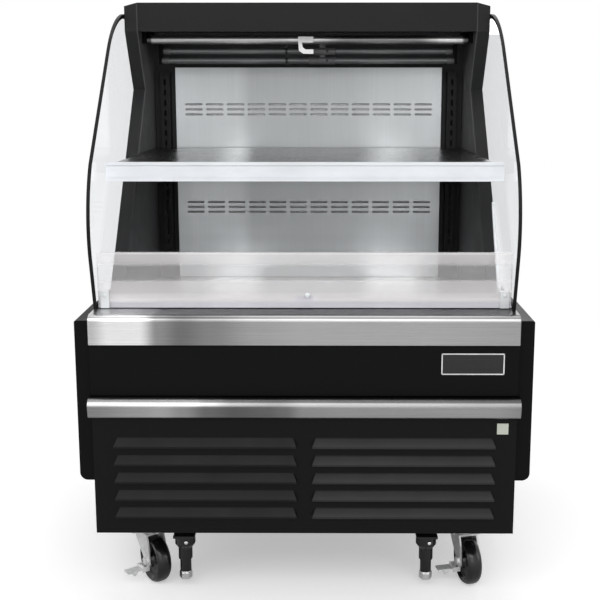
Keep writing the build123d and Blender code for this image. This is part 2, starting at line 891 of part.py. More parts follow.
# Ceiling plate under the roof's air duct, with a slot for the curtain and the lamps' brackets.
bracket_inset = 6
bracket_half = 9
ceiling_front = roll_depth + 22
hanger_front = curtain_bar_depth - 12
hanger_rear = curtain_bar_depth + 12
hanger_top = curtain_bar_height + 14
hanger_bottom = curtain_bar_height - 8
hanger_shoulder = roll_depth - 16
with BuildPart() as ceiling_plate:
    bar(
        (-wall_inner, wall_inner),
        (back(ceiling_front), back(rear_wall_depth - sheet)),
        (header_bottom, header_bottom + sheet),
    )
    bar(
        (-wall_inner, wall_inner),
        (back(ceiling_front), back(ceiling_front + sheet)),
        (header_bottom + sheet, roof_bottom),
    )
    for side in (-1, 1):
        for length, depth, height in zip(lamp_lengths, lamp_depths, lamp_heights):
            end = side * length / 2
            bar(
                tuple(sorted((end, end + side * bracket_inset))),
                (back(depth - bracket_half), back(depth + bracket_half)),
                (height - bracket_half, header_bottom),
            )
    for side in (-1, 1):
        start = side * (curtain_bar_length / 2 + race_gap)
        with BuildSketch(Plane.YZ.offset(start)):
            with BuildLine():
                Polyline(
                    (back(hanger_shoulder), roof_bottom),
                    (back(hanger_front), hanger_top),
                    (back(hanger_front), hanger_bottom),
                    (back(hanger_rear), hanger_bottom),
                    (back(ceiling_front), header_bottom),
                    (back(ceiling_front), roof_bottom),
                    close=True,
                )
            make_face()
            with Locations((back(roll_depth), roll_height)):
                Circle(roll_journal / 2 + running_clearance, mode=Mode.SUBTRACT)
        extrude(amount=side * (wall_inner - abs(start)))
write(ceiling_plate.part, "ceiling_plate")

with BuildPart() as lamps:
    for length, depth, height in zip(lamp_lengths, lamp_depths, lamp_heights):
        with BuildSketch(Plane.YZ.offset(-length / 2)):
            with Locations((back(depth), height)):
                Circle(lamp_diameter / 2)
        extrude(amount=length)
write(lamps.part, "lamps")

# ---- Glass -------------------------------------------------------------------------------
glass_bottom = rim_height
glass_inner = wall_outer + skin_gap
glass_outer = glass_inner + glass_thickness
glass_rear_depth = 540
glass_nose_depth = 15
glass_nose_height = 810
glass_foot_depth = 47
glass_shoulder = (50, 926)
glass_upper = (246, 1158)
glass_brow = (300, 1205)
glass_chin = (20, 745)
glass_top = wall_top - 18
trim_depth = 10  # how far the edge trim reaches over the glass
trim_wall = 1.5
trim_lip = 1


def glass_outline(inset):
    """Outline of a side glass in the plane of the glass, shrunk by an inset."""
    with BuildSketch(Plane.YZ) as outline:
        with BuildLine():
            foot = (back(glass_foot_depth), glass_bottom)
            chin = (back(glass_chin[0]), glass_chin[1])
            nose = (back(glass_nose_depth), glass_nose_height)
            shoulder = (back(glass_shoulder[0]), glass_shoulder[1])
            upper = (back(glass_upper[0]), glass_upper[1])
            brow = (back(glass_brow[0]), glass_brow[1])
            top = (back(header_depth), glass_top)
            Line(foot, chin)
            ThreePointArc(chin, nose, shoulder)
            Line(shoulder, upper)
            ThreePointArc(upper, brow, top)
            Polyline(
                top,
                (back(glass_rear_depth), glass_top),
                (back(glass_rear_depth), glass_bottom),
                foot,
            )
        make_face()
        if inset:
            offset(amount=-inset, kind=Kind.INTERSECTION)
    return outline.sketch


for side, name in ((-1, "left"), (1, "right")):
    with BuildPart() as side_glass:
        add(extrude(glass_outline(trim_wall), amount=glass_thickness, mode=Mode.PRIVATE).moved(
            Location((glass_inner if side > 0 else -glass_outer, 0, 0))))
    write(side_glass.part, f"side_glass_{name}")

# Edge trims: a channel round each side glass.
with BuildPart() as glass_trims:
    for side in (-1, 1):
        ring = glass_outline(0) - glass_outline(trim_wall)
        lip = glass_outline(0) - glass_outline(trim_depth)
        inner = glass_inner if side > 0 else -glass_outer
        lip_inner = half_body - trim_lip if side > 0 else -half_body
        add(extrude(ring, amount=glass_thickness, mode=Mode.PRIVATE).moved(Location((inner, 0, 0))))
        add(extrude(lip, amount=trim_lip, mode=Mode.PRIVATE).moved(Location((lip_inner, 0, 0))))
write(glass_trims.part, "glass_trims")

guard_height = 749
guard_thickness = 6
guard_width = 840
guard_corner = 6
channel_height = 14
channel_wall = 2
guard_clip_half = 18
guard_clip_height = 26
guard_clip_thickness = 5
with BuildPart() as guard_glass:
    bar(
        (-guard_width / 2, guard_width / 2),
        (back(guard_depth - guard_thickness / 2), back(guard_depth + guard_thickness / 2)),
        (rim_height + channel_wall, guard_height),
    )
    fillet(guard_glass.edges().filter_by(Axis.Y).group_by(Axis.Z)[-1], radius=guard_corner)
write(guard_glass.part, "guard_glass")

with BuildPart() as guard_channel:
    bar(
        (-guard_width / 2, guard_width / 2),
        (
            back(guard_depth - guard_thickness / 2 - channel_wall),
            back(guard_depth + guard_thickness / 2 + channel_wall),
        ),
        (rim_height, rim_height + channel_height),
    )
    bar(
        (-guard_width / 2, guard_width / 2),
        (back(guard_depth - guard_thickness / 2), back(guard_depth + guard_thickness / 2)),
        (rim_height + channel_wall, rim_height + channel_height),
        mode=Mode.SUBTRACT,
    )
    bar(
        (-guard_clip_half, guard_clip_half),
        (
            back(guard_depth - guard_thickness / 2 - guard_clip_thickness),
            back(guard_depth - guard_thickness / 2),
        ),
        (rim_height, rim_height + guard_clip_height),
    )
write(guard_channel.part, "guard_channel")

# ---- Interior ----------------------------------------------------------------------------
back_panel_top = 1127
back_panel_gap = 6  # above the deck
back_panel_bottom = deck_height + back_panel_gap
with BuildPart() as back_panel:
    bar(
        (-back_panel_width / 2, back_panel_width / 2),
        (back(back_panel_depth - sheet), back(back_panel_depth)),
        (back_panel_bottom, back_panel_top),
    )
    for side in (-1, 1):
        edge = side * back_panel_width / 2
        bar(
            tuple(sorted((edge, edge - side * sheet))),
            (back(back_panel_depth), back(rear_wall_depth - sheet)),
            (back_panel_bottom, back_panel_top),
        )
    bar(
        (-back_panel_width / 2, back_panel_width / 2),
        (back(back_panel_depth), back(rear_wall_depth - sheet)),
        (back_panel_top - sheet, back_panel_top),
    )
    with BuildSketch(Plane.XZ.offset(-back(back_panel_depth - sheet))):
        for level in slot_levels:
            with Locations((0, level)):
                with GridLocations(slot_column_pitch, slot_row_pitch, slot_columns, slot_rows):
                    SlotOverall(slot_length, slot_height)
    extrude(amount=-sheet, mode=Mode.SUBTRACT)
write(back_panel.part, "back_panel")

# Slotted uprights that carry the shelf brackets.
standard_width = 24
standard_proud = 10  # in front of the back panel
standard_slot = 14
standard_slot_pitch = 25.4
standard_bottom = 640
standard_top = 1115
standard_front = back_panel_depth - sheet - standard_proud
standard_rear = rear_wall_depth - sheet
standard_slot_width = 5
hook_drop = 30
hook_level = shelf_bottom - hook_drop
standard_rows = 18

with BuildPart() as shelf_standards:
    for side in (-1, 1):
        x = side * standard_spacing / 2
        bar(
            (x - standard_width / 2, x + standard_width / 2),
            (back(standard_front), back(standard_rear)),
            (standard_bottom, standard_top),
        )
        bar(
            (x - standard_width / 2 + sheet, x + standard_width / 2 - sheet),
            (back(standard_front + sheet), back(standard_rear)),
            (standard_bottom, standard_top),
            mode=Mode.SUBTRACT,
        )
        with BuildSketch(Plane.XZ.offset(-back(standard_front))):
            with Locations((x, hook_level)):
                with GridLocations(1, standard_slot_pitch, 1, standard_rows):
                    Rectangle(standard_slot_width, standard_slot)
        extrude(amount=-sheet, mode=Mode.SUBTRACT)
write(shelf_standards.part, "shelf_standards")

# Shelf: folded pan with its two brackets, and the price strip clipped to its front edge.
shelf_rear_depth = standard_front - skin_gap
bracket_thickness = 3
bracket_fall = 34
bracket_heel = 12
bracket_foot = 20
bracket_front_inset = 60
hook_half = 3
hook_reach = sheet + skin_gap + 2.5
hook_root = 1

with BuildPart() as shelf:
    bar(
        (-shelf_width / 2, shelf_width / 2),
        (back(shelf_front_depth), back(shelf_rear_depth)),
        (shelf_bottom, shelf_height),
    )
    offset(amount=-sheet, openings=shelf.faces().sort_by(Axis.Z)[0])
    for side in (-1, 1):
        x = side * standard_spacing / 2
        with BuildSketch(Plane.YZ.offset(x - bracket_thickness / 2)):
            with BuildLine():
                Polyline(
                    (back(shelf_rear_depth - sheet), shelf_height - sheet),
                    (back(shelf_rear_depth - sheet), shelf_bottom),
                    (back(shelf_rear_depth), shelf_bottom),
                    (back(shelf_rear_depth), shelf_bottom - bracket_fall - bracket_heel),
                    (back(shelf_rear_depth - bracket_foot), shelf_bottom - bracket_fall - bracket_heel),
                    (back(shelf_front_depth + bracket_front_inset), shelf_bottom),
                    (back(shelf_front_depth + bracket_front_inset), shelf_height - sheet),
                    close=True,
                )
            make_face()
        extrude(amount=bracket_thickness)
        for row in (0, 1):
            level = hook_level - (row - 0.5) * standard_slot_pitch - hook_half
            bar(
                (x - bracket_thickness / 2, x + bracket_thickness / 2),
                (back(shelf_rear_depth - hook_root), back(shelf_rear_depth + hook_reach)),
                (level - hook_half, level + hook_half),
            )
write(shelf.part, "shelf")

strip_thickness = 4
strip_front = shelf_front_depth - strip_thickness
strip_slot = (1, 2.4)  # front and rear of the slot that holds the labels
strip_lip = 3
strip_window = 7
strip_overrun = 1
with BuildPart() as price_strip:
    bar(
        (-strip_width / 2, strip_width / 2),
        (back(strip_front), back(shelf_front_depth)),
        (shelf_height - strip_height, shelf_height),
    )
    bar(
        (-strip_width / 2 - strip_overrun, strip_width / 2 + strip_overrun),
        (back(strip_front + strip_slot[0]), back(strip_front + strip_slot[1])),
        (shelf_height - strip_height + strip_lip, shelf_height - strip_lip),
        mode=Mode.SUBTRACT,
    )
    bar(
        (-strip_width / 2, strip_width / 2),
        (back(strip_front), back(strip_front + strip_slot[0])),
        (shelf_height - strip_height + strip_window, shelf_height - strip_window),
        mode=Mode.SUBTRACT,
    )
write(price_strip.part, "price_strip")

# Deck pan: lifts out; the air returns through the slots along its front.
deck_side_gap = 2
deck_front_gap = 4
deck_rear_gap = 3
deck_front_depth = front_wall_rear + sheet + deck_front_gap
return_inset = 40  # from the front of the deck to the middle of the slots
return_slots = 29
return_slot_pitch = 25
return_slot_length = 56
return_slot_width = 8
deck_rear_depth = back_panel_depth - sheet - deck_rear_gap
deck_notch_gap = 2  # round each upright
with BuildPart() as deck_pan:
    bar(
        (-wall_inner + deck_side_gap, wall_inner - deck_side_gap),
        (back(deck_front_depth), back(deck_rear_depth)),
        (ledge_top, deck_height),
    )
    offset(amount=-sheet, openings=deck_pan.faces().sort_by(Axis.Z)[0])
    with BuildSketch(Plane.XY.offset(deck_height - sheet)):
        with Locations((0, back(deck_front_depth + return_inset))):
            with GridLocations(return_slot_pitch, 1, return_slots, 1):
                SlotOverall(return_slot_length, return_slot_width, rotation=90)
    extrude(amount=sheet, mode=Mode.SUBTRACT)
    for side in (-1, 1):
        notch_half = standard_width / 2 + deck_notch_gap
        bar(
            (side * standard_spacing / 2 - notch_half, side * standard_spacing / 2 + notch_half),
            (back(standard_front - deck_notch_gap), back(deck_rear_depth)),
            (ledge_top, deck_height),
            mode=Mode.SUBTRACT,
        )
write(deck_pan.part, "deck_pan")

# Night curtain: spring roller inside the header, cloth, pull bar and handle.
journal_gap = 2  # between the end of a journal and the wall
with BuildPart() as curtain_roll:
    with BuildSketch(Plane.YZ.offset(-roll_length / 2)):
        with Locations((back(roll_depth), roll_height)):
            Circle(roll_diameter / 2)
    extrude(amount=roll_length)
    with BuildSketch(Plane.YZ.offset(-wall_inner + journal_gap)):
        with Locations((back(roll_depth), roll_height)):
            Circle(roll_journal / 2)
    extrude(amount=2 * (wall_inner - journal_gap))
write(curtain_roll.part, "curtain_roll")

bar_end_radius = 1.5
with BuildPart() as curtain_bar:
    with BuildSketch(Plane.YZ.offset(-curtain_bar_length / 2)):
        with Locations((back(curtain_bar_depth), curtain_bar_height)):
            Circle(curtain_bar_diameter / 2)
    extrude(amount=curtain_bar_length)
    fillet(curtain_bar.edges().filter_by(GeomType.CIRCLE), radius=bar_end_radius)
write(curtain_bar.part, "curtain_bar")

handle_x = -4
handle_width = 36
handle_plate_height = 14
handle_plate = 3
handle_strap = 5
handle_strap_width = 9
handle_strap_top = 6  # below the middle of the bar
handle_bend = 12
handle_foot_top = 17
handle_foot_bottom = 27
handle_lean = 2
handle_heel = 20
handle_depth_front = curtain_bar_depth - curtain_bar_diameter / 2
with BuildPart() as curtain_handle:
    with BuildSketch(Plane.XZ.offset(-back(handle_depth_front - race_gap))):
        with Locations((handle_x, curtain_bar_height)):
            Rectangle(handle_width, handle_plate_height)
    extrude(amount=handle_plate)
    with BuildSketch(Plane.XZ.offset(-back(handle_depth_front - race_gap))):
        with BuildLine():
            left = handle_x - handle_width / 2
            top = curtain_bar_height - handle_strap_top
            Polyline(
                (left, top),
                (left + handle_strap_width, top),
                (left + handle_strap_width + handle_lean, top - handle_bend),
                (left + 2 * handle_strap_width, top - handle_foot_top),
                (left + handle_width, top - handle_foot_top),
                (left + handle_width, top - handle_foot_bottom),
                (left + handle_bend, top - handle_foot_bottom),
                (left + handle_lean, top - handle_heel),
                close=True,
            )
        make_face()
    extrude(amount=handle_strap)
write(curtain_handle.part, "curtain_handle")

# ---- Refrigeration -----------------------------------------------------------------------
coil_front = 300
coil_rear = 470
coil_half = 330
coil_floor_gap = 6
coil_bottom = tub_floor + sheet + coil_floor_gap
coil_top = 552
coil_plate = 2
coil_plate_margin = 8
coil_plate_rise = 4
fin_pitch = 12
fin_thickness = 0.8
tube_radius = 5
tube_pitch = 42
tube_count = 4
tube_first = 22  # first tube behind the front of the coil
tube_edge = 14  # from the top or bottom of the coil to a row of tubes
bend_thickness = 12
last_bend_margin = 20

# The fan plate in front of the coil has two holes: air drops through them and is blown back.
plate_gap = 6
plate_end_gap = 1
plate_front = front_wall_rear + sheet + plate_gap
plate_rear = coil_front - coil_plate_margin

with BuildPart() as evaporator_coil:
    for side in (-1, 1):
        end = side * coil_half
        bar(
            tuple(sorted((end, end + side * coil_plate))),
            (back(coil_front - coil_plate_margin), back(coil_rear + coil_plate_margin)),
            (tub_floor + sheet, coil_top + coil_plate_rise),
        )
    fins = int(2 * coil_half / fin_pitch)
    with GridLocations(fin_pitch, 1, fins - 1, 1):
        with Locations((0, back((coil_front + coil_rear) / 2), (coil_bottom + coil_top) / 2)):
            Box(fin_thickness, coil_rear - coil_front, coil_top - coil_bottom)
    tube_rows = (coil_bottom + tube_edge, coil_top - tube_edge)
    tube_depths = [coil_front + tube_first + tube_pitch * n for n in range(tube_count)]
    with BuildSketch(Plane.YZ.offset(-coil_half - coil_plate)):
        with Locations([(back(depth), level) for depth in tube_depths for level in tube_rows]):
            Circle(tube_radius)
    extrude(amount=2 * (coil_half + coil_plate))
    for side in (-1, 1):
        start = side * (coil_half + coil_plate)
        with BuildSketch(Plane.YZ.offset(start)):
            for n in range(0, tube_count, 2):
                for level in tube_rows:
                    shift = tube_pitch if side > 0 else 0
                    middle = tube_depths[n] + tube_pitch / 2 + shift
                    if middle < coil_rear - last_bend_margin:
                        with Locations((back(middle), level)):
                            SlotOverall(tube_pitch + 2 * tube_radius, 2 * tube_radius)
        extrude(amount=side * bend_thickness)
    bar(
        (-wall_inner + plate_end_gap, wall_inner - plate_end_gap),
        (back(plate_front), back(plate_rear)),
        (fan_level, fan_level + sheet),
    )
    bar(
        (-wall_inner + plate_end_gap, wall_inner - plate_end_gap),
        (back(plate_front), back(plate_front + sheet)),
        (tub_floor + sheet, fan_level),
    )
    with BuildSketch(Plane.XY.offset(fan_level)):
        with Locations((-fan_spacing / 2, back(fan_depth)), (fan_spacing / 2, back(fan_depth))):
            Circle(fan_diameter / 2 + fan_clearance)
    extrude(amount=sheet, mode=Mode.SUBTRACT)
write(evaporator_coil.part, "evaporator_coil")

motor_diameter = 62
motor_height = 30
motor_bottom = tub_floor + sheet
shaft_diameter = 6
hub_diameter = 40
blade_count = 4
fan_thickness = 14
fan_bottom = fan_level - fan_thickness / 2
condenser_front = 40
condenser_x = -190
condenser_lift = 12
condenser_middle = base_floor + condenser_lift + condenser_height / 2
shroud_depth = condenser_front + condenser_thickness
shroud_length = 40
condenser_fan_inset = 24
condenser_motor_gap = 6
condenser_motor_length = 45
condenser_fan_front = shroud_depth + shroud_length - condenser_fan_inset
condenser_motor_front = condenser_fan_front + fan_thickness + condenser_motor_gap
blade_root = (22, 2.2)  # chord and thickness
blade_root_pitch = 28
blade_root_depth = 4  # how far a blade runs into the hub
blade_tip_share = 0.34  # chord at the tip, as a share of the diameter
blade_tip_thickness = 1.6
blade_tip_pitch = 9
blade_tip_gap = 1


def fan_rotor(name, diameter, pose):
    """Axial fan drawn about its own axis, hub and blades in one, then set in its place."""
    with BuildPart() as rotor:
        with BuildSketch():
            Circle(hub_diameter / 2)
        extrude(amount=fan_thickness)
        with BuildPart(mode=Mode.PRIVATE) as blade:
            root_x = hub_diameter / 2 - blade_root_depth
            root = Plane((root_x, 0, fan_thickness / 2), (0, 1, 0), (1, 0, 0))
            tip_x = diameter / 2 - blade_tip_gap
            tip = Plane((tip_x, 0, fan_thickness / 2), (0, 1, 0), (1, 0, 0))
            with BuildSketch(root):
                Rectangle(*blade_root, rotation=blade_root_pitch)
            with BuildSketch(tip):
                Rectangle(diameter * blade_tip_share, blade_tip_thickness, rotation=blade_tip_pitch)
            loft()
        with PolarLocations(0, blade_count):
            add(blade.part)
        Hole(shaft_diameter / 2 + running_clearance)
    write(rotor.part.moved(pose), name)


for side, name in ((-1, "left"), (1, "right")):
    pose = Location((side * fan_spacing / 2, back(fan_depth), fan_bottom))
    fan_rotor(f"evaporator_fan_{name}", fan_diameter, pose)
condenser_fan_pose = Location((condenser_x, back(condenser_fan_front), condenser_middle), (-90, 0, 0))
fan_rotor("condenser_fan", condenser_fan_diameter, condenser_fan_pose)

with BuildPart() as fan_motors:
    for side in (-1, 1):
        place = (side * fan_spacing / 2, back(fan_depth))
        with BuildSketch(Plane.XY.offset(motor_bottom)):
            with Locations(place):
                Circle(motor_diameter / 2)
        extrude(amount=motor_height)
        with BuildSketch(Plane.XY.offset(motor_bottom + motor_height)):
            with Locations(place):
                Circle(shaft_diameter / 2)
        extrude(amount=fan_bottom + fan_thickness - motor_bottom - motor_height)
    with BuildSketch(Plane.XZ.offset(-back(condenser_motor_front))):
        with Locations((condenser_x, condenser_middle)):
            Circle(motor_diameter / 2)
    extrude(amount=-condenser_motor_length)
    with BuildSketch(Plane.XZ.offset(-back(condenser_fan_front))):
        with Locations((condenser_x, condenser_middle)):
            Circle(shaft_diameter / 2)
    extrude(amount=-(condenser_motor_front - condenser_fan_front))
write(fan_motors.part, "fan_motors")

condenser_fin_pitch = 10
condenser_fin_inset = 4
condenser_row_pitch = 40
condenser_tube_pitch = 26
condenser_top = condenser_middle + condenser_height / 2 + 6

with BuildPart() as condenser_coil:
    for side in (-1, 1):
        end = condenser_x + side * condenser_width / 2
        bar(
            tuple(sorted((end, end + side * coil_plate))),
            (back(condenser_front), back(shroud_depth)),
            (base_floor, condenser_top),
        )
    with Locations((condenser_x, back(condenser_front + condenser_thickness / 2), condenser_middle)):
        with GridLocations(condenser_fin_pitch, 1, int(condenser_width / condenser_fin_pitch) - 1, 1):
            Box(fin_thickness, condenser_thickness - 2 * condenser_fin_inset, condenser_height)
    condenser_rows = int(condenser_height / condenser_row_pitch)
    with BuildSketch(Plane.YZ.offset(condenser_x - condenser_width / 2 - coil_plate)):
        with Locations((back(condenser_front + condenser_thickness / 2), condenser_middle)):
            with GridLocations(condenser_tube_pitch, condenser_row_pitch, 2, condenser_rows):
                Circle(tube_radius)
    extrude(amount=condenser_width + 2 * coil_plate)
    for side in (-1, 1):
        start = condenser_x + side * (condenser_width / 2 + coil_plate)
        with BuildSketch(Plane.YZ.offset(start)):
            with Locations((back(condenser_front + condenser_thickness / 2), condenser_middle)):
                bends = condenser_rows // 2 - (1 if side > 0 else 0)
                with GridLocations(condenser_tube_pitch, 2 * condenser_row_pitch, 2, bends):
                    SlotOverall(condenser_row_pitch + 2 * tube_radius, 2 * tube_radius, rotation=90)
        extrude(amount=side * bend_thickness)
write(condenser_coil.part, "condenser_coil")

strut_half = 3
strut_thickness = 4
strut_overrun = 14

with BuildPart() as condenser_shroud:
    shroud_half = condenser_width / 2 + coil_plate
    bar(
        (condenser_x - shroud_half, condenser_x + shroud_half),
        (back(shroud_depth), back(shroud_depth + shroud_length)),
        (base_floor, condenser_top),
    )
    offset(amount=-sheet, openings=condenser_shroud.faces().sort_by(Axis.Y)[0])
    with BuildSketch(Plane.XZ.offset(-back(shroud_depth))):
        with Locations((condenser_x, condenser_middle)):
            Circle(condenser_fan_diameter / 2 + fan_clearance)
    extrude(amount=-(shroud_length + sheet), mode=Mode.SUBTRACT)
    for angle in (45, 135, 225, 315):
        with BuildPart(mode=Mode.PRIVATE) as strut:
            strut_end = condenser_fan_diameter / 2 + strut_overrun
            bar((motor_diameter / 2, strut_end), (-strut_half, strut_half), (0, strut_thickness))
        turned = strut.part.rotate(Axis.Z, angle).rotate(Axis.X, -90)
        strut_depth = shroud_depth + shroud_length - strut_thickness
        add(turned.moved(Location((condenser_x, back(strut_depth), condenser_middle))))
write(condenser_shroud.part, "condenser_shroud")

compressor_x = 150
compressor_depth = 360
compressor_feet = 22
compressor_crown = 34
compressor_seam = 4
compressor_seam_height = 6
compressor_plate = 5
compressor_plate_width = compressor_diameter + 30
compressor_plate_length = compressor_diameter + 10
pad_spacing = compressor_diameter - 20
compressor_plate_corner = 14
foot_pad_radius = 11
terminal_box = (36, 60, 60)
terminal_offset = 12
terminal_drop = 20
pad_height = 18
with BuildPart() as compressor:
    with BuildSketch(Plane.XY.offset(base_floor + compressor_feet)):
        with Locations((compressor_x, back(compressor_depth))):
            Circle(compressor_diameter / 2)
    extrude(amount=compressor_height)
    fillet(compressor.edges().filter_by(GeomType.CIRCLE), radius=compressor_crown)
    with BuildSketch(Plane.XY.offset(base_floor + compressor_feet + compressor_height / 2)):
        with Locations((compressor_x, back(compressor_depth))):
            Circle(compressor_diameter / 2 + compressor_seam)
    extrude(amount=compressor_seam_height)
    with BuildSketch(Plane.XY.offset(base_floor + pad_height)):
        with Locations((compressor_x, back(compressor_depth))):
            RectangleRounded(compressor_plate_width, compressor_plate_length, compressor_plate_corner)
    extrude(amount=compressor_plate)
    with Locations((compressor_x, back(compressor_depth), base_floor + pad_height / 2)):
        with GridLocations(compressor_diameter, pad_spacing, 2, 2):
            Cylinder(foot_pad_radius, pad_height)
    with Locations(
        (
            compressor_x + compressor_diameter / 2 + terminal_offset,
            back(compressor_depth),
            base_floor + compressor_feet + compressor_height / 2 - terminal_drop,
        )
    ):
        Box(*terminal_box)
write(compressor.part, "compressor")


def pipe(points, radius, bend):
    """A copper line through its points, with every corner bent to the same radius."""
    with BuildPart() as run:
        with BuildLine():
            path = FilletPolyline(*points, radius=bend)
        with BuildSketch(Plane(origin=path @ 0, z_dir=path % 0)):
            Circle(radius)
        sweep(path=path)
    return run.part


compressor_top = base_floor + compressor_feet + compressor_height
line_level = condenser_middle + 100
drain_line_level = condenser_middle - 100
condenser_end = condenser_x + condenser_width / 2 + coil_plate
coil_end = coil_half + coil_plate
bend = 12
drier_gap = 45
drier_start = condenser_end + drier_gap
drier_radius = 12
hot_depth = condenser_front + 43
liquid_line_depth = condenser_front + 17
crossing_depth = condenser_front + 130
riser_x = compressor_x - 60
liquid_turn_x = compressor_x - 10
suction_drop = 45  # behind the compressor
drier_length = 70
suction_level = base_floor + 70

with BuildPart() as refrigerant_lines:
    discharge = [
        (compressor_x, back(compressor_depth), compressor_top),
        (compressor_x, back(compressor_depth), line_level),
        (riser_x, back(compressor_depth), line_level),
        (riser_x, back(hot_depth), line_level),
        (condenser_end, back(hot_depth), line_level),
    ]
    add(pipe(discharge, suction_radius, bend))
    liquid_x, liquid_depth = liquid_place
    liquid = [
        (condenser_end, back(liquid_line_depth), drain_line_level),
        (liquid_turn_x, back(liquid_line_depth), drain_line_level),
        (liquid_turn_x, back(crossing_depth), drain_line_level),
        (liquid_x, back(crossing_depth), drain_line_level),
        (liquid_x, back(crossing_depth), condenser_middle),
        (liquid_x, back(liquid_depth), condenser_middle),
        (liquid_x, back(liquid_depth), tube_rows[0]),
        (liquid_x, back(tube_depths[0]), tube_rows[0]),
        (coil_end, back(tube_depths[0]), tube_rows[0]),
    ]
    add(pipe(liquid, liquid_radius, bend))
    with BuildSketch(Plane.YZ.offset(drier_start)):
        with Locations((back(liquid_line_depth), drain_line_level)):
            Circle(drier_radius)
    extrude(amount=drier_length)
    suction_x, suction_depth = suction_place
    suction_entry = compressor_depth + compressor_diameter / 2
    suction = [
        (coil_end, back(tube_depths[3]), tube_rows[1]),
        (suction_x, back(suction_depth), tube_rows[1]),
        (suction_x, back(suction_depth), suction_level),
        (suction_x, back(suction_entry + suction_drop), suction_level),
        (compressor_x, back(suction_entry + suction_drop), suction_level),
        (compressor_x, back(suction_entry), suction_level),
    ]
    add(pipe(suction, suction_radius, bend))
write(refrigerant_lines.part, "refrigerant_lines")

pan_front = 500
pan_rear = 660
pan_half = 200
pan_height = 55
drain_end = 40  # above the base floor
with BuildPart() as condensate_pan:
    bar((-pan_half, pan_half), (back(pan_front), back(pan_rear)), (base_floor, base_floor + pan_height))
    offset(amount=-sheet, openings=condensate_pan.faces().sort_by(Axis.Z)[-1])
write(condensate_pan.part, "condensate_pan")

with BuildPart() as drain_pipe:
    with BuildSketch(Plane.XY.offset(base_floor + drain_end)):
        with Locations((drain_x, back(drain_depth))):
            Circle(drain_diameter / 2)
            Circle(drain_diameter / 2 - drain_wall, mode=Mode.SUBTRACT)
    extrude(amount=tub_floor + sheet - base_floor - drain_end)
write(drain_pipe.part, "drain_pipe")

box_left = 190
box_right = 370
box_front = 40
box_rear = 120
box_height = 150
box_top = base_floor + box_height
dial_plate = (290, 350)
dial_plate_half = 14
dial_plate_thickness = 3
switch_x = 230
switch_drop = 35
switch_level = box_top - switch_drop
switch_width = 20
switch_height = 30
switch_pivot_depth = box_front + 8
switch_pin = 4
switch_ear = 3
switch_ear_half = 8
switch_ear_rear = 6  # behind the pin
rocker_base = 4
rocker_proud = 5
with BuildPart() as control_box:
    bar((box_left, box_right), (back(box_front), back(box_rear)), (base_floor, box_top))
    offset(amount=-sheet, openings=control_box.faces().sort_by(Axis.Y)[-1])
    bar(
        (switch_x - switch_width / 2 - race_gap, switch_x + switch_width / 2 + race_gap),
        (back(box_front), back(box_front + sheet)),
        (switch_level - switch_height / 2 - race_gap, switch_level + switch_height / 2 + race_gap),
        mode=Mode.SUBTRACT,
    )
    for side in (-1, 1):
        near = switch_x + side * (switch_width / 2 + race_gap)
        bar(
            tuple(sorted((near, switch_x + side * (switch_width / 2 + switch_ear)))),
            (back(box_front + sheet), back(switch_pivot_depth + switch_ear_rear)),
            (switch_level - switch_ear_half, switch_level + switch_ear_half),
        )
    with BuildSketch(Plane.YZ.offset(switch_x - switch_width / 2 - switch_ear)):
        with Locations((back(switch_pivot_depth), switch_level)):
            Circle(switch_pin / 2 + running_clearance)
    extrude(amount=switch_width + 2 * switch_ear, mode=Mode.SUBTRACT)
    bar(
        dial_plate,
        (back(box_front - dial_plate_thickness), back(box_front)),
        (switch_level - dial_plate_half, switch_level + dial_plate_half),
    )
write(control_box.part, "control_box")

with BuildPart() as light_switch:
    with BuildSketch(Plane.YZ.offset(switch_x - switch_width / 2)):
        with BuildLine():
            Polyline(
                (back(switch_pivot_depth + 2), switch_level - switch_height / 2 + rocker_base),
                (back(box_front - 1), switch_level - switch_height / 2 + 1),
                (back(box_front + 1), switch_level),
                (back(box_front - rocker_proud), switch_level + switch_height / 2 - 1),
                (back(switch_pivot_depth + 2), switch_level + switch_height / 2 - rocker_base),
                close=True,
            )
        make_face()
    extrude(amount=switch_width)
    with BuildSketch(Plane.YZ.offset(switch_x - switch_width / 2 - switch_ear)):
        with Locations((back(switch_pivot_depth), switch_level)):
            Circle(switch_pin / 2)
    extrude(amount=switch_width + 2 * switch_ear)
write(light_switch.part, "light_switch")

gland_bore = 10
gland_nut_radius = 15
gland_nut_height = 7
gland_length = 18
with BuildPart() as cable_gland:
    with BuildSketch(Plane.XZ.offset(-rear_y + sheet)):
        with Locations(gland_place):
            RegularPolygon(gland_nut_radius, 6)
    extrude(amount=gland_nut_height)
    with BuildSketch(Plane.XZ.offset(-rear_y)):
        with Locations(gland_place):
            Circle(gland_hole / 2)
    extrude(amount=gland_length)
    with BuildSketch(Plane.XZ.offset(-rear_y)):
        with Locations(gland_place):
            Circle(gland_bore / 2)
    extrude(amount=gland_length, mode=Mode.SUBTRACT)
write(cable_gland.part, "cable_gland")

# ---- Fasteners ---------------------------------------------------------------------------
bolt_radius = 5
bolt_head = 6
bolt_spacing = (52, 76)
with BuildPart() as fasteners:
    for x, depth, angle in castors.values():
        with Locations((x, back(depth), castor_height - plate_thickness - bolt_head / 2)):
            with GridLocations(*bolt_spacing, 2, 2):
                Cylinder(bolt_radius, bolt_head)
write(fasteners.part, "fasteners")
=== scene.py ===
"""The looks of an open refrigerated deli case: finishes, fittings, wheels, cloth and studio."""

import math

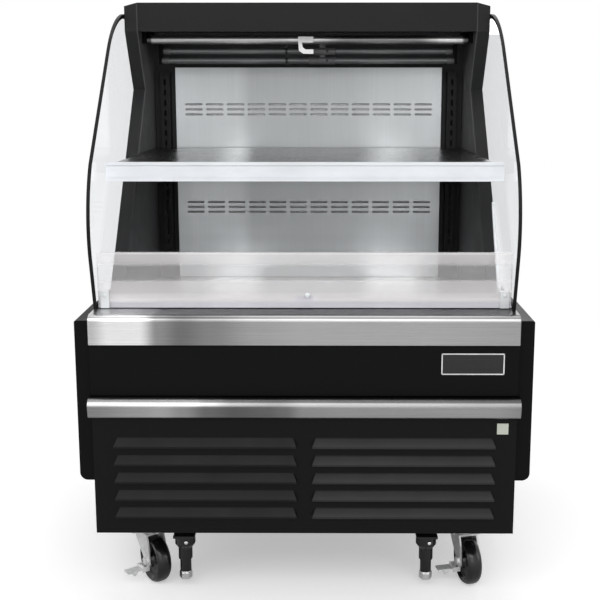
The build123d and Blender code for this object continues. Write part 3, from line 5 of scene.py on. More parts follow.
import bmesh
import bpy
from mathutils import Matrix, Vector


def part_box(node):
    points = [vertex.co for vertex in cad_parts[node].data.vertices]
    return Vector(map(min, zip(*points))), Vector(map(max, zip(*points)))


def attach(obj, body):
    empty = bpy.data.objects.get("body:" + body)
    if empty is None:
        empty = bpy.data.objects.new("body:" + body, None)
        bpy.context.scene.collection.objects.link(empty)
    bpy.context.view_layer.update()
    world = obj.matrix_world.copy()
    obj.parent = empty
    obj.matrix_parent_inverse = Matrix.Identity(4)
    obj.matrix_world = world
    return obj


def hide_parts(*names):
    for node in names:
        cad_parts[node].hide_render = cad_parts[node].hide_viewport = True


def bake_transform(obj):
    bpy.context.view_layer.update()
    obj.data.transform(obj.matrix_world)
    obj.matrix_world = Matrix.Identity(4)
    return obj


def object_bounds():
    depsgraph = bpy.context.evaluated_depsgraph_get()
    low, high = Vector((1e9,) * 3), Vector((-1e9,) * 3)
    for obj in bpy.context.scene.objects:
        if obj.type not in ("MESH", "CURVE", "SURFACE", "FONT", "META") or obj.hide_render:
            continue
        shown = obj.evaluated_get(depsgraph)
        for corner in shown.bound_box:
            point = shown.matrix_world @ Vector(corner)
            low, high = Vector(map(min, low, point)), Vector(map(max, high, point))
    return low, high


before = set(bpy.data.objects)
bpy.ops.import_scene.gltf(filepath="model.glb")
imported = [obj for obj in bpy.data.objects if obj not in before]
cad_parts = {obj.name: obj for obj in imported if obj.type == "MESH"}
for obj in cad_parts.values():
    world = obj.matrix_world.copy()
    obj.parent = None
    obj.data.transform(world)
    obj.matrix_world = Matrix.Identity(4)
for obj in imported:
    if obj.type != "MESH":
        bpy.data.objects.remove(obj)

cad_low, cad_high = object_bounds()
scene = bpy.context.scene
MM = 0.001
PANEL_DEPTH = 345.5  # how far the front panels stand in front of the frame's middle, in mm
CORNERS = ("front_left", "front_right", "rear_left", "rear_right")


def back(depth):
    """The Y of a depth in mm behind the front panels."""
    return (depth - PANEL_DEPTH) * MM


# ---------------------------------------- materials: the node helper

class Finish:
    """A material whose node tree is built one node at a time."""

    def __init__(self, name):
        self.material = bpy.data.materials.new(name)
        self.material.use_nodes = True
        self.tree = self.material.node_tree
        self.tree.nodes.clear()
        self.output = self.tree.nodes.new("ShaderNodeOutputMaterial")
        self.place = self.node("TexCoord").outputs["Object"]

    def node(self, kind, inputs=None, **settings):
        made = self.tree.nodes.new("ShaderNode" + kind)
        for name, value in settings.items():
            setattr(made, name, value)
        for name, value in (inputs or {}).items():
            self.feed(made.inputs[name], value)
        return made

    def feed(self, socket, value):
        if isinstance(value, bpy.types.NodeSocket):
            self.tree.links.new(value, socket)
        else:
            socket.default_value = value

    def stretched(self, scale):
        """The object's own coordinates, scaled differently along X, Y and Z."""
        return self.node("Mapping", {"Vector": self.place, "Scale": scale}).outputs["Vector"]

    def noise(self, scale, detail=2.0, vector=None, roughness=0.5):
        inputs = {"Vector": vector or self.place, "Scale": scale, "Detail": detail}
        return self.node("TexNoise", {**inputs, "Roughness": roughness}).outputs["Fac"]

    def span(self, value, low, high, start=0.0, end=1.0):
        """Maps value from start..end to low..high."""
        sockets = {"Value": value, "From Min": start, "From Max": end,
                   "To Min": low, "To Max": high}
        return self.node("MapRange", sockets).outputs["Result"]

    def maths(self, operation, first, second=0.0):
        return self.node("Math", {0: first, 1: second}, operation=operation).outputs[0]

    def ramp(self, value, stops, smooth=True):
        """A colour ramp; each stop is (position, colour)."""
        made = self.node("ValToRGB", {"Fac": value})
        made.color_ramp.interpolation = "EASE" if smooth else "LINEAR"
        elements = made.color_ramp.elements
        while len(elements) < len(stops):
            elements.new(0.5)
        for element, (position, colour) in zip(elements, stops):
            element.position = position
            element.color = (*colour, 1.0)
        return made.outputs["Color"]

    def greys(self, value, stops, smooth=True):
        """A ramp of greys; each stop is (position, brightness)."""
        return self.ramp(value, [(position, grey(shade)) for position, shade in stops], smooth)

    def mix(self, factor, first, second, blend="MIX"):
        made = self.node("Mix", data_type="RGBA", blend_type=blend)
        self.feed(made.inputs["Factor"], factor)
        for socket, value in ((made.inputs[6], first), (made.inputs[7], second)):
            self.feed(socket, (*value, 1.0) if isinstance(value, tuple) else value)
        return made.outputs[2]

    def times(self, first, second):
        """Two colours multiplied."""
        return self.mix(1.0, first, second, "MULTIPLY")

    def axis(self, letter):
        """One of the object's own coordinates, in metres."""
        return self.node("SeparateXYZ", {"Vector": self.place}).outputs[letter]

    def round_edges(self, radius):
        """The surface's normal with its edges eased by that radius."""
        return self.node("Bevel", {"Radius": radius}, samples=4).outputs["Normal"]

    def bump(self, height, depth, normal=None):
        inputs = {"Height": height, "Distance": depth, "Strength": 1.0}
        if normal is not None:
            inputs["Normal"] = normal
        return self.node("Bump", inputs).outputs["Normal"]

    def worn_edge(self, radius):
        """1 on a convex edge and 0 away from it."""
        eased = self.round_edges(radius)
        plain = self.node("NewGeometry").outputs["Normal"]
        turn = self.node("VectorMath", {0: eased, 1: plain}, operation="DOT_PRODUCT")
        return self.span(turn.outputs["Value"], 1.0, 0.0, 0.75, 0.999)

    def show(self, shader_socket):
        """Puts a shader on the material's output."""
        self.tree.links.new(shader_socket, self.output.inputs["Surface"])

    def surface(self, **sockets):
        """The Principled shader, on the material's output."""
        shader = self.node("BsdfPrincipled", {n.replace("_", " "): v for n, v in sockets.items()})
        self.show(shader.outputs[0])
        return shader


def grey(value):
    return (value, value, value)


# Where some coats take painted light, in metres
WALL_FACES = (0.392, 0.394)  # on either side of the inner faces of the walls, along X
WALL_PAINTED_FADE = (-0.16, 0.24)  # where those faces get lighter, along Y
LOUVRE_PAINTED_RISE = (-0.3553, -0.3459)  # from the lips of the louvres to their feet, along Y
BANKS_GAP = (-0.03, 0.03)  # between the two banks of louvres, along X


def powder_coat(name, colour, roughness, specular, rub=0.03, inside=None, lip=None):
    """Satin powder coat: orange peel, faint mottling and slightly rubbed edges, as bright as rub.
    inside is a lighter colour, painted light, that the faces inside the walls fade to with their
    depth, and lip a lighter colour, painted light, towards the lips of the louvres, mostly of the
    right-hand bank."""
    f = Finish(name)
    mottle = f.span(f.noise(5, 4), 0.82, 1.22, 0.3, 0.7)
    # painted light: the inner faces of the walls fade to the lighter inside colour with their depth
    if inside:
        depth = f.ramp(f.span(f.axis("Y"), 0.0, 1.0, *WALL_PAINTED_FADE), ((0.0, colour), (1.0, inside)))
        inward = f.span(f.maths("ABSOLUTE", f.axis("X")), 1.0, 0.0, *WALL_FACES)
        colour = f.mix(inward, colour, depth)
    # painted light: the louvres' sloping faces get lighter towards their lips, most on the
    # right-hand bank
    if lip:
        height = f.span(f.axis("Y"), 1.0, 0.0, *LOUVRE_PAINTED_RISE)
        proud = f.greys(height, ((0.0, 0.0), (0.2, 0.55), (1.0, 1.0)))
        share = f.span(f.axis("X"), 0.2, 1.0, *BANKS_GAP)
        colour = f.mix(f.maths("MULTIPLY", proud, share), colour, lip)
    shade = f.times(colour, f.greys(mottle, ((0.0, 0.8), (1.0, 1.0))))
    scuffs = f.span(f.noise(60, 5), 0.2, 1.0, 0.45, 0.7)
    edge = f.maths("MULTIPLY", f.maths("MULTIPLY", f.worn_edge(0.9 * MM), scuffs), 0.5)
    shade = f.mix(edge, shade, grey(rub))
    gloss = f.span(f.noise(14, 6, roughness=0.65), roughness - 0.05, roughness + 0.08, 0.3, 0.7)
    skin = f.bump(f.noise(700, 2), 0.12 * MM, f.round_edges(1.2 * MM))
    shader = f.surface(Base_Color=shade, Roughness=gloss, Normal=skin)
    shader.inputs["Specular IOR Level"].default_value = specular
    return f.material


def brushed_steel(name, grain, tone, roughness=0.27, tint=(1.0, 1.0, 1.0), upper=None,
                  turn=(0.9, 0.97), painted_facing=None, painted_rise=None, contrast=0.14, marks=0.01 * MM,
                  fan=0.0):
    """Stainless sheet. grain holds the scales of the brush marks along X, Y and Z, contrast their
    shade and marks their depth. tone is painted reflections, bands of light and dark across X
    that spread towards the back by fan, and upper the painted bands on faces that look up, between
    the two slopes in turn. painted_facing paints shade by slope and painted_rise light and shade by
    height."""
    f = Finish(name)
    coarse = f.noise(1.0, 3, f.stretched(grain))
    fine = f.noise(4.0, 2, f.stretched(grain))
    spread = f.maths("DIVIDE", f.axis("X"), f.span(f.axis("Y"), 1 - fan, 1 + fan, -1.0, 1.0))
    across = f.span(spread, 0.0, 1.0, cad_low.x, cad_high.x)
    slope = f.node("SeparateXYZ", {"Vector": f.node("NewGeometry").outputs["Normal"]}).outputs["Z"]
    # painted reflections: the bands of light and dark across X
    bands = f.greys(across, tone)
    if upper:
        bands = f.mix(f.span(slope, 0.0, 1.0, *turn), bands, f.greys(across, upper))
    lines = f.greys(f.span(coarse, 0.0, 1.0, 0.3, 0.7), ((0.0, 1 - contrast), (1.0, 1.0)))
    colour = f.times(f.times(bands, lines), tint)
    # painted shade by slope, and painted light and shade by height
    for value, stops in ((slope, painted_facing), (f.axis("Z"), painted_rise)):
        if stops:
            start, end = stops[0][0], stops[-1][0]
            shares = [((at - start) / (end - start), share) for at, share in stops]
            colour = f.times(colour, f.greys(f.span(value, 0.0, 1.0, start, end), shares))
    smear = f.noise(7, 5, roughness=0.6)
    gloss = f.maths("ADD", f.span(fine, roughness - 0.05, roughness + 0.07),
                    f.span(smear, -0.03, 0.05))
    skin = f.bump(f.maths("ADD", coarse, fine), marks, f.round_edges(0.9 * MM))
    f.surface(Base_Color=colour, Roughness=gloss, Normal=skin, Metallic=1.0)
    return f.material


def plated(name, colour, roughness, spangle=240, metallic=1.0):
    """Zinc plate, aluminium or copper: fine crystals, spangle of them to the metre, and a smear."""
    f = Finish(name)
    crystals = f.node("TexVoronoi", {"Vector": f.place, "Scale": spangle}).outputs["Color"]
    light = f.node("RGBToBW", {"Color": crystals}).outputs[0]
    smear = f.noise(25, 5, roughness=0.65)
    colour = f.times(colour, f.greys(light, ((0.0, 0.86), (1.0, 1.0))))
    colour = f.times(colour, f.greys(smear, ((0.25, 0.78), (0.7, 1.0))))
    gloss = f.span(smear, roughness - 0.06, roughness + 0.14, 0.3, 0.7)
    skin = f.bump(smear, 0.06 * MM, f.round_edges(0.6 * MM))
    f.surface(Base_Color=colour, Roughness=gloss, Metallic=metallic, Normal=skin)
    return f.material


def moulded(name, colour, roughness, grain=0.04 * MM, specular=0.5, coat=0.0):
    """Moulded plastic or rubber: a surface grain of that depth, faint flow marks, eased edges."""
    f = Finish(name)
    flow = f.noise(9, 4, f.stretched((1, 1, 2.5)))
    tone = f.greys(flow, ((0.25, 0.88), (0.75, 1.0)))
    gloss = f.span(f.noise(30, 5), roughness - 0.06, roughness + 0.08, 0.3, 0.7)
    skin = f.bump(f.noise(900, 2), grain, f.round_edges(0.8 * MM))
    shader = f.surface(Base_Color=f.times(colour, tone), Roughness=gloss, Normal=skin)
    shader.inputs["Specular IOR Level"].default_value = specular
    shader.inputs["Coat Weight"].default_value = coat
    return f.material


def clear_body(f, colour, roughness, index):
    """The Principled shader of a clear material with that index of refraction."""
    shader = f.surface(Base_Color=colour, Roughness=roughness)
    shader.inputs["Transmission Weight"].default_value = 1.0
    shader.inputs["IOR"].default_value = index
    return shader.outputs[0]


def see_through(f, shader, tint):
    """Lets light pass to what stands behind clear plastic or glass, so that it isn't shaded."""
    clear = f.node("BsdfTransparent", {"Color": (*tint, 1.0)})
    shadow = f.node("LightPath").outputs["Is Shadow Ray"]
    f.show(f.node("MixShader", {0: shadow, 1: shader, 2: clear.outputs[0]}).outputs[0])


def clear_glass(name, tint):
    """Clear sheet with a faint tint and wiped smears, a little darker low on the right."""
    f = Finish(name)
    wiped = f.noise(11, 6, f.stretched((1, 1.6, 0.5)), 0.6)
    gloss = f.span(wiped, 0.0, 0.035, 0.45, 0.75)
    darker_low_right = f.mix(f.span(f.axis("Z"), 0.0, 1.0, 1.1, 0.75), tint, tuple(0.955 * c for c in tint))
    darker_low_right = f.mix(f.span(f.axis("X"), 0.0, 1.0, 0.0, 0.4), tint, darker_low_right)
    see_through(f, clear_body(f, darker_low_right, gloss, 1.07), tint)
    return f.material


def guard_with_painted_reflections(name, low, high):
    """The front guard, from low to high: clear acrylic with a soft white haze, partly the sheet's
    own milkiness and, in its level bands and two broad upright streaks, painted reflections."""
    f = Finish(name)
    level = f.span(f.axis("Z"), 0.0, 1.0, low, high)
    ripple = f.span(f.noise(2.0, 2, f.stretched((1.0, 1, 6))), -0.012, 0.012, 0.3, 0.7)
    # painted reflections: the white haze in level bands
    bands = f.greys(f.maths("ADD", level, ripple), (
        (0.0, 0.50), (0.09, 0.50), (0.12, 0.74), (0.15, 0.74), (0.18, 0.54), (0.24, 0.48),
        (0.28, 0.38), (0.47, 0.33), (0.51, 0.15), (0.74, 0.14), (0.80, 0.29), (0.955, 0.34),
        (0.975, 0.5), (1.0, 0.3)), smooth=False)
    clear = clear_body(f, (0.97, 0.98, 0.98, 1.0), f.span(f.noise(9, 5), 0.0, 0.05, 0.4, 0.8), 1.3)
    white = f.node("BsdfPrincipled", {"Base Color": (0.90, 0.875, 0.885, 1.0), "Roughness": 0.25})
    across = f.span(f.axis("X"), 0.0, 1.0, cad_low.x, cad_high.x)
    # painted reflections: two broad upright streaks of haze
    streaks = f.greys(across, ((0.26, 0.0), (0.31, 0.10), (0.37, 0.10), (0.42, 0.01),
                               (0.62, 0.0), (0.68, 0.10), (0.74, 0.10), (0.78, 0.0)))
    amount = f.maths("ADD", bands, streaks)
    haze = f.node("MixShader", {0: amount, 1: clear, 2: white.outputs[0]}).outputs[0]
    see_through(f, haze, (0.95, 0.95, 0.96))
    return f.material


def woven(name, colour):
    """Coated curtain cloth: a plain weave of fine threads with a soft sheen."""
    f = Finish(name)
    spacing = 0.3768 * MM
    threads = {"Vector": f.place, "Scale": math.tau / 20 / spacing}  # its waves are tau / 20 long
    warp = f.node("TexWave", threads, bands_direction="X").outputs["Fac"]
    weft = f.node("TexWave", threads, bands_direction="Z").outputs["Fac"]
    weave = f.maths("MULTIPLY", warp, weft)
    soiled = f.times(colour, f.greys(f.noise(16, 4), ((0.25, 0.86), (0.75, 1.0))))
    tone = f.mix(f.span(weave, 0.0, 0.5), soiled, tuple(0.6 * c for c in colour))
    skin = f.bump(weave, 0.08 * MM)
    shader = f.surface(Base_Color=tone, Roughness=f.span(weave, 0.5, 0.68), Normal=skin)
    shader.inputs["Sheen Weight"].default_value = 0.15
    return f.material


# ---------------------------------------- materials: the finishes

# Painted reflections: light and dark across the width of each steel piece, as (share of the width,
# brightness)
PAINTED_STEEL_REFLECTIONS = {
    "cap": ((0.0, 0.52), (0.04, 0.63), (0.08, 1.0), (0.145, 1.0), (0.185, 0.33), (0.235, 0.205),
            (0.30, 0.28), (0.40, 0.42), (0.50, 0.47), (0.72, 0.47), (1.0, 0.42)),
    "cap_top": ((0.0, 0.92), (0.12, 1.0), (0.165, 0.60), (0.19, 0.20), (0.25, 0.15), (0.5, 0.17),
                (1.0, 0.155)),
    "rail": ((0.0, 0.25), (0.04, 0.28), (0.14, 0.39), (0.19, 0.45), (0.24, 0.33), (0.29, 0.18),
             (0.35, 0.135), (0.42, 0.16), (0.46, 0.20), (0.50, 0.33), (0.60, 0.36), (0.90, 0.37),
             (1.0, 0.27)),
    "rail_top": ((0.0, 0.70), (0.26, 0.70), (0.29, 0.52), (0.35, 0.31), (0.44, 0.25), (0.50, 0.34),
                 (0.62, 0.30), (0.78, 0.29), (0.90, 0.25), (1.0, 0.22)),
    "shelf": ((0.15, 0.12), (0.26, 0.24), (0.33, 0.95), (0.38, 0.09), (0.62, 0.10), (0.70, 0.85),
              (0.80, 0.12)),
    "back": ((0.14, 1.0), (0.17, 0.92), (0.22, 0.85), (0.30, 0.80), (0.35, 0.62), (0.46, 0.64),
             (0.60, 0.68), (0.72, 0.80), (0.80, 0.86), (0.84, 0.92)),
    # the bar's dark ends are its end caps; the bands between them are painted reflections
    "bar": ((0.098, 0.10), (0.102, 0.46), (0.42, 0.50), (0.50, 0.66), (0.60, 0.22), (0.78, 0.24),
            (0.86, 0.80), (0.896, 0.70), (0.90, 0.10)),
    "plain": ((0.0, 0.55), (1.0, 0.60)),
    "deck": ((0.0, 0.30), (0.24, 0.30), (0.29, 1.0), (0.36, 1.0), (0.40, 0.30), (0.62, 0.30),
             (0.67, 1.0), (0.75, 1.0), (0.79, 0.30)),
}
# Painted light and shade by height, in metres, and by how far a face looks up
BACK_PAINTED_LIGHT = ((0.60, 1.0), (0.66, 1.0), (0.70, 0.90), (0.748, 0.74), (0.80, 0.66), (0.88, 0.64),
             (0.93, 0.55), (1.0, 0.53), (1.12, 0.44))
CAP_PAINTED_SHADE = ((0.0, 1.0), (0.4, 1.0), (0.62, 0.65), (1.0, 0.65))
RAIL_PAINTED_SHADE = ((0.0, 1.0), (0.3, 1.0), (0.5, 0.85), (0.7, 0.55), (0.85, 0.3), (1.0, 0.12))
# Which way the brush marks run
ALONG_X, ALONG_Y, ALONG_Z = (5, 900, 900), (900, 5, 900), (900, 900, 5)

FINISHES = {
    "coat_outer": powder_coat("black_coat_outer", (0.0045, 0.0047, 0.0048), 0.40, 0.07),
    # the inside colour of coat_wall is painted light on the inner faces of the walls
    "coat_wall": powder_coat("black_coat_wall", (0.017, 0.0173, 0.0177), 0.46, 0.12, rub=0.06,
                             inside=(0.10, 0.101, 0.103)),
    "coat_hood": powder_coat("black_coat_hood", (0.016, 0.0163, 0.0167), 0.46, 0.11, rub=0.06),
    "coat_inside": powder_coat("black_coat_inside", (0.0035, 0.0035, 0.0036), 0.5, 0.05),
    # painted light: the standards' black is lightened to stand for light in the shaded margins
    "coat_margin": powder_coat("black_coat_margin", (0.024, 0.024, 0.0245), 0.5, 0.08, rub=0.04),
    # painted light: the liner's black is lightened to stand for light in its deep shaded recess
    "coat_liner": powder_coat("black_coat_liner", (0.058, 0.059, 0.060), 0.5, 0.08, rub=0.04),
    # the lip colour of coat_grille is painted light on the louvres
    "coat_grille": powder_coat("black_coat_grille", (0.0040, 0.0042, 0.0043), 0.38, 0.12,
                               lip=(0.030, 0.030, 0.0305)),
    "coat_frame": powder_coat("black_coat_frame", (0.012, 0.012, 0.012), 0.5, 0.3),
    "steel_cap": brushed_steel("brushed_steel_cap", ALONG_X, PAINTED_STEEL_REFLECTIONS["cap"], upper=PAINTED_STEEL_REFLECTIONS["cap_top"],
                               painted_facing=CAP_PAINTED_SHADE),
    "steel_rail": brushed_steel("brushed_steel_rail", ALONG_X, PAINTED_STEEL_REFLECTIONS["rail"],
                                upper=PAINTED_STEEL_REFLECTIONS["rail_top"], turn=(0.12, 0.35), painted_facing=RAIL_PAINTED_SHADE),
    "steel_deck": brushed_steel("brushed_steel_deck", ALONG_Y, PAINTED_STEEL_REFLECTIONS["deck"], 0.3, contrast=0.08,
                                marks=0.003 * MM, fan=0.46),
    "steel_bar": brushed_steel("brushed_bar", ALONG_X, PAINTED_STEEL_REFLECTIONS["bar"], 0.36, contrast=0.06),
    "steel_shelf": brushed_steel("brushed_steel_shelf", ALONG_Y, PAINTED_STEEL_REFLECTIONS["shelf"], 0.24,
                                 contrast=0.08, marks=0.003 * MM, fan=0.46),
    "steel_back": brushed_steel("brushed_steel_back", ALONG_Z, PAINTED_STEEL_REFLECTIONS["back"], 0.36,
                                (0.95, 0.985, 1.0), painted_rise=BACK_PAINTED_LIGHT, contrast=0.05),
    "steel_plain": brushed_steel("brushed_steel_plain", ALONG_X, PAINTED_STEEL_REFLECTIONS["plain"], 0.3),
    "zinc": plated("zinc_plate", (0.90, 0.905, 0.91), 0.34, metallic=0.40),
    "slot_steel": plated("pressed_lips", (0.80, 0.81, 0.82), 0.5, metallic=0.4),
    "copper": plated("copper_tube", (0.78, 0.36, 0.20), 0.28, 300),
    "fins": plated("aluminium_fins", (0.72, 0.73, 0.74), 0.35, 600),
    "plastic_black": moulded("black_plastic", (0.016, 0.016, 0.017), 0.38, specular=0.35),
    "trim": moulded("black_edge_trim", (0.009, 0.009, 0.0095), 0.42, specular=0.13),
    "plastic_white": moulded("white_plastic", (0.95, 0.95, 0.95), 0.3),
    "strip_white": moulded("price_strip_white", (0.84, 0.865, 0.90), 0.34, 0.004 * MM, coat=0.15),
    "wheel": moulded("wheel_black", (0.008, 0.008, 0.009), 0.24, 0.012 * MM, 0.40, coat=0.15),
    "leg": moulded("leg_black", (0.004, 0.004, 0.0045), 0.15, 0.008 * MM, 0.32, coat=0.3),
    "bright_nut": plated("bright_nut", (0.90, 0.905, 0.91), 0.16),
    "label": moulded("blank_label", (0.55, 0.58, 0.50), 0.35, 0.01 * MM, 0.4),
    "clear_edge": moulded("frosted_acrylic", (0.86, 0.88, 0.90), 0.25, 0.02 * MM, coat=0.4),
    "lamp_end": moulded("lamp_end_cap", (0.10, 0.10, 0.105), 0.4, 0.03 * MM, 0.4),
    "lamp": moulded("lamp_tube", (0.10, 0.103, 0.107), 0.16, 0.005 * MM, coat=0.3),
    "compressor": powder_coat("compressor_black", (0.010, 0.010, 0.011), 0.3, 0.4),
    "glass": clear_glass("side_glass_clear", (0.95, 0.96, 0.975)),
    "cloth": woven("curtain_cloth", (0.030, 0.031, 0.033)),
}

guard_low, guard_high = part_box("guard_glass")
FINISHES["guard"] = guard_with_painted_reflections("guard_acrylic", guard_low.z, guard_high.z)

# The CAD nodes that take each finish
NODE_FINISHES = {
    "coat_outer": ("end_panel_left", "end_panel_right", "body_sides", "upper_front_panel",
                   "rear_cover"),
    "coat_wall": ("side_wall_left", "side_wall_right"),
    "coat_hood": ("roof", "header"),
    "coat_inside": ("ceiling_plate", "air_outlet"),
    "coat_margin": ("shelf_standards",),
    "coat_liner": ("tank_liner", "insulated_body"),
    "coat_grille": ("front_grille",),
    "coat_frame": ("base_frame", "castor_plates", "condenser_shroud", "control_box"),
    "steel_cap": ("front_cap",),
    "steel_rail": ("bumper_rail",),
    "steel_shelf": ("shelf",),
    "steel_deck": ("deck_pan",),
    "steel_back": ("back_panel",),
    "steel_plain": ("condensate_pan",),
    "zinc": ("fasteners", "brake_pedal_left", "brake_pedal_right",
             *("castor_fork_" + corner for corner in CORNERS)),
    "wheel": tuple("castor_wheel_" + corner for corner in CORNERS),
    "steel_bar": ("curtain_bar",),
    "copper": ("refrigerant_lines",),
    "fins": ("evaporator_coil", "condenser_coil"),
    "trim": ("glass_trims",),
    "plastic_black": ("evaporator_fan_left", "evaporator_fan_right", "condenser_fan",
                      "light_switch", "cable_gland", "drain_pipe", "fan_motors"),
    "leg": ("leg_sockets", "levelling_foot_left", "levelling_foot_right"),
    "plastic_white": ("curtain_handle",),
    "strip_white": ("price_strip",),
    "lamp": ("lamps",),
    "compressor": ("compressor",),
    "glass": ("side_glass_left", "side_glass_right", "guard_channel"),
    "guard": ("guard_glass",),
    "cloth": ("curtain_roll",),
}


def paint(piece, finish):
    """Gives every slot of a piece one finish."""
    if not piece.material_slots:
        piece.data.materials.append(FINISHES[finish])
    for place in piece.material_slots:
        place.material = FINISHES[finish]


for finish, names in NODE_FINISHES.items():
    for name in names:
        paint(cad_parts[name], finish)


# ---------------------------------------- pieces: helpers

def new_piece(name, mesh_source, body, finish):
    """Makes a piece from a bmesh, paints it and rides it on a body."""
    mesh = bpy.data.meshes.new(name)
    mesh_source.to_mesh(mesh)
    mesh_source.free()
    piece = bpy.data.objects.new(name, mesh)
    scene.collection.objects.link(piece)
    paint(piece, finish)
    if body:
        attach(piece, body)
    return piece


def rings_about(mesh, place, axis, profile, steps):
    """Adds a ring of points for each pair of radius and height along the axis."""
    turn = Vector((0, 0, 1)).rotation_difference(Vector(axis).normalized()).to_matrix()
    rings = []
    for radius, height in profile:
        ring = []
        for i in range(steps):
            angle = math.tau * i / steps
            spot = Vector((radius * math.cos(angle), radius * math.sin(angle), height))
            ring.append(mesh.verts.new(Vector(place) + turn @ spot))
        rings.append(ring)
    return rings


def lathe(mesh, place, axis, profile, steps=48):
    """Adds a turned solid; profile is pairs of radius and height along the axis."""
    rings = rings_about(mesh, place, axis, profile, steps)
    for lower, upper in zip(rings, rings[1:]):
        for i in range(steps):
            j = (i + 1) % steps
            mesh.faces.new((lower[i], lower[j], upper[j], upper[i])).smooth = True
    mesh.faces.new(rings[0][::-1])
    mesh.faces.new(rings[-1])


def hoop(mesh, place, axis, profile, steps):
    """Adds a ring whose closed cross-section is given as pairs of radius and height."""
    rings = rings_about(mesh, place, axis, profile, steps)
    for lower, upper in zip(rings, rings[1:] + rings[:1]):
        for i in range(steps):
            j = (i + 1) % steps
            mesh.faces.new((lower[i], upper[i], upper[j], lower[j])).smooth = True


def dome(mesh, place, axis, radius, height):
    """Adds a domed screw head with a small flat in its crown."""
    profile = [(radius, 0.0), (radius, height * 0.25)]
    for i in range(1, 7):
        angle = i / 6 * 1.35
        profile.append((radius * math.cos(angle), height * (0.25 + 0.75 * math.sin(angle))))
    lathe(mesh, place, axis, profile, 28)


def slab(mesh, low, high, ease):
    """Adds a block between two corners with all of its edges rounded by ease."""
    made = bmesh.ops.create_cube(mesh, size=1.0)["verts"]
    low, high = Vector(low), Vector(high)
    for vert in made:
        vert.co = Vector((low[k] + (vert.co[k] + 0.5) * (high[k] - low[k]) for k in range(3)))
    edges = list({edge for vert in made for edge in vert.link_edges})
    bmesh.ops.bevel(mesh, geom=edges, offset=ease, segments=3, profile=0.5, affect="EDGES")


# ---------------------------------------- pieces: badge and label

def badge():
    """A blank plate on the upper front panel: a dark field with a raised band, thinly framed."""
    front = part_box("upper_front_panel")[0].y
    left, right, bottom, top = 274 * MM, 400 * MM, 511 * MM, 555 * MM
    rim = 2.4 * MM
    field = bmesh.new()
    slab(field, (left + rim, front - 0.9 * MM, bottom + rim), (right - rim, front, top - rim),
         0.25 * MM)
    slab(field, (left + 6 * MM, front - 1.3 * MM, bottom + 12 * MM),
         (right - 6 * MM, front - 0.8 * MM, top - 12 * MM), 0.2 * MM)
    new_piece("badge_field", field, "case", "plastic_black")
    bars = bmesh.new()
    for x0, x1, z0, z1 in ((left, right, top - rim, top), (left, right, bottom, bottom + rim),
                           (left, left + rim, bottom, top), (right - rim, right, bottom, top)):
        slab(bars, (x0, front - 1.6 * MM, z0), (x1, front, z1), 0.4 * MM)
    new_piece("badge_frame", bars, "case", "zinc")


def panel_label():
    """A small blank label under the right end of the rail, on the panel that comes off."""
    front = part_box("upper_front_panel")[0].y
    left, right, bottom, top = 389 * MM, 412 * MM, 386 * MM, 409 * MM
    label = bmesh.new()
    slab(label, (left, front - 0.35 * MM, bottom), (right, front, top), 0.12 * MM)
    new_piece("panel_label", label, "grille", "label")


badge()
panel_label()


# ---------------------------------------- pieces: feet and screws

def hex_tip(side):
    """The bright hexagonal end of a levelling foot, chamfered, with a round collar above it."""
    low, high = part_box("levelling_foot_" + side)
    middle = (low + high) / 2
    end = (middle.x, middle.y, low.z)
    tip = bmesh.new()
    radius, height, chamfer = 14.0 * MM, 15 * MM, 1.0 * MM
    profile = ((radius * 0.97, 0.2 * MM), (radius, chamfer), (radius, height - chamfer),
               (radius * 0.96, height))
    lathe(tip, end, (0, 0, 1), profile, 6)
    for face in tip.faces:
        face.smooth = False
    collar = ((12.3 * MM, height), (12.5 * MM, height + 0.8 * MM), (12.3 * MM, height + 2.4 * MM))
    lathe(tip, end, (0, 0, 1), collar, 40)
    new_piece("foot_tip_" + side, tip, "foot_" + side, "bright_nut")


def leg_screws():
    """A bright domed screw on the front of each leg's collar."""
    screws = bmesh.new()
    for side in ("left", "right"):
        foot = sum(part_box("levelling_foot_" + side), Vector()) / 2
        place = (foot.x + 5 * MM, foot.y - 21.4 * MM, 113 * MM)
        dome(screws, place, (0.22, -1, 0), 4.2 * MM, 2.8 * MM)
    new_piece("leg_screws", screws, "case", "bright_nut")


for side in ("left", "right"):
    hex_tip(side)
leg_screws()


# ---------------------------------------- pieces: castor wheels

WHEEL_RADIUS, WHEEL_HALF_WIDTH, TREAD_CROWN = 50.8, 16.0, 6.2
# One face of a wheel from its rim to its bore, as radius and height above the wheel's middle in mm
WHEEL_FACE = ((44.2, WHEEL_HALF_WIDTH), (42.6, 15.6), (41.4, 14.7), (40.8, 13.2), (40.0, 13.0),
              (39.5, 14.3), (38.6, 14.4), (37.6, 11.2), (36.0, 9.6), (33.0, 9.2), (18.5, 9.2),
              (16.4, 9.9), (15.2, 12.0), (14.9, 15.6), (14.2, 16.6), (12.4, 16.8), (6.6, 16.8))


def castor_wheel(corner, turn):
    """A wheel with a crowned tread, a stepped rim, dished faces and a raised hub, whose axle is
    turned by turn degrees from X."""
    middle = sum(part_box("castor_wheel_" + corner), Vector()) / 2
    axis = Vector((math.cos(math.radians(turn)), math.sin(math.radians(turn)), 0))
    tread = []
    for i in range(21):
        height = WHEEL_HALF_WIDTH * math.sin(math.radians(90 - 9 * i))
        drop = TREAD_CROWN * (abs(height) / WHEEL_HALF_WIDTH) ** 3.4
        tread.append((WHEEL_RADIUS - drop, height))
    other_face = [(radius, -height) for radius, height in WHEEL_FACE]
    outline = list(reversed(WHEEL_FACE)) + tread + other_face
    wheel = bmesh.new()
    hoop(wheel, middle, axis, [(radius * MM, height * MM) for radius, height in outline], 96)
    bmesh.ops.recalc_face_normals(wheel, faces=wheel.faces[:])
    piece = new_piece("tyre_" + corner, wheel, "wheel_" + corner, "wheel")
    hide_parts("castor_wheel_" + corner)


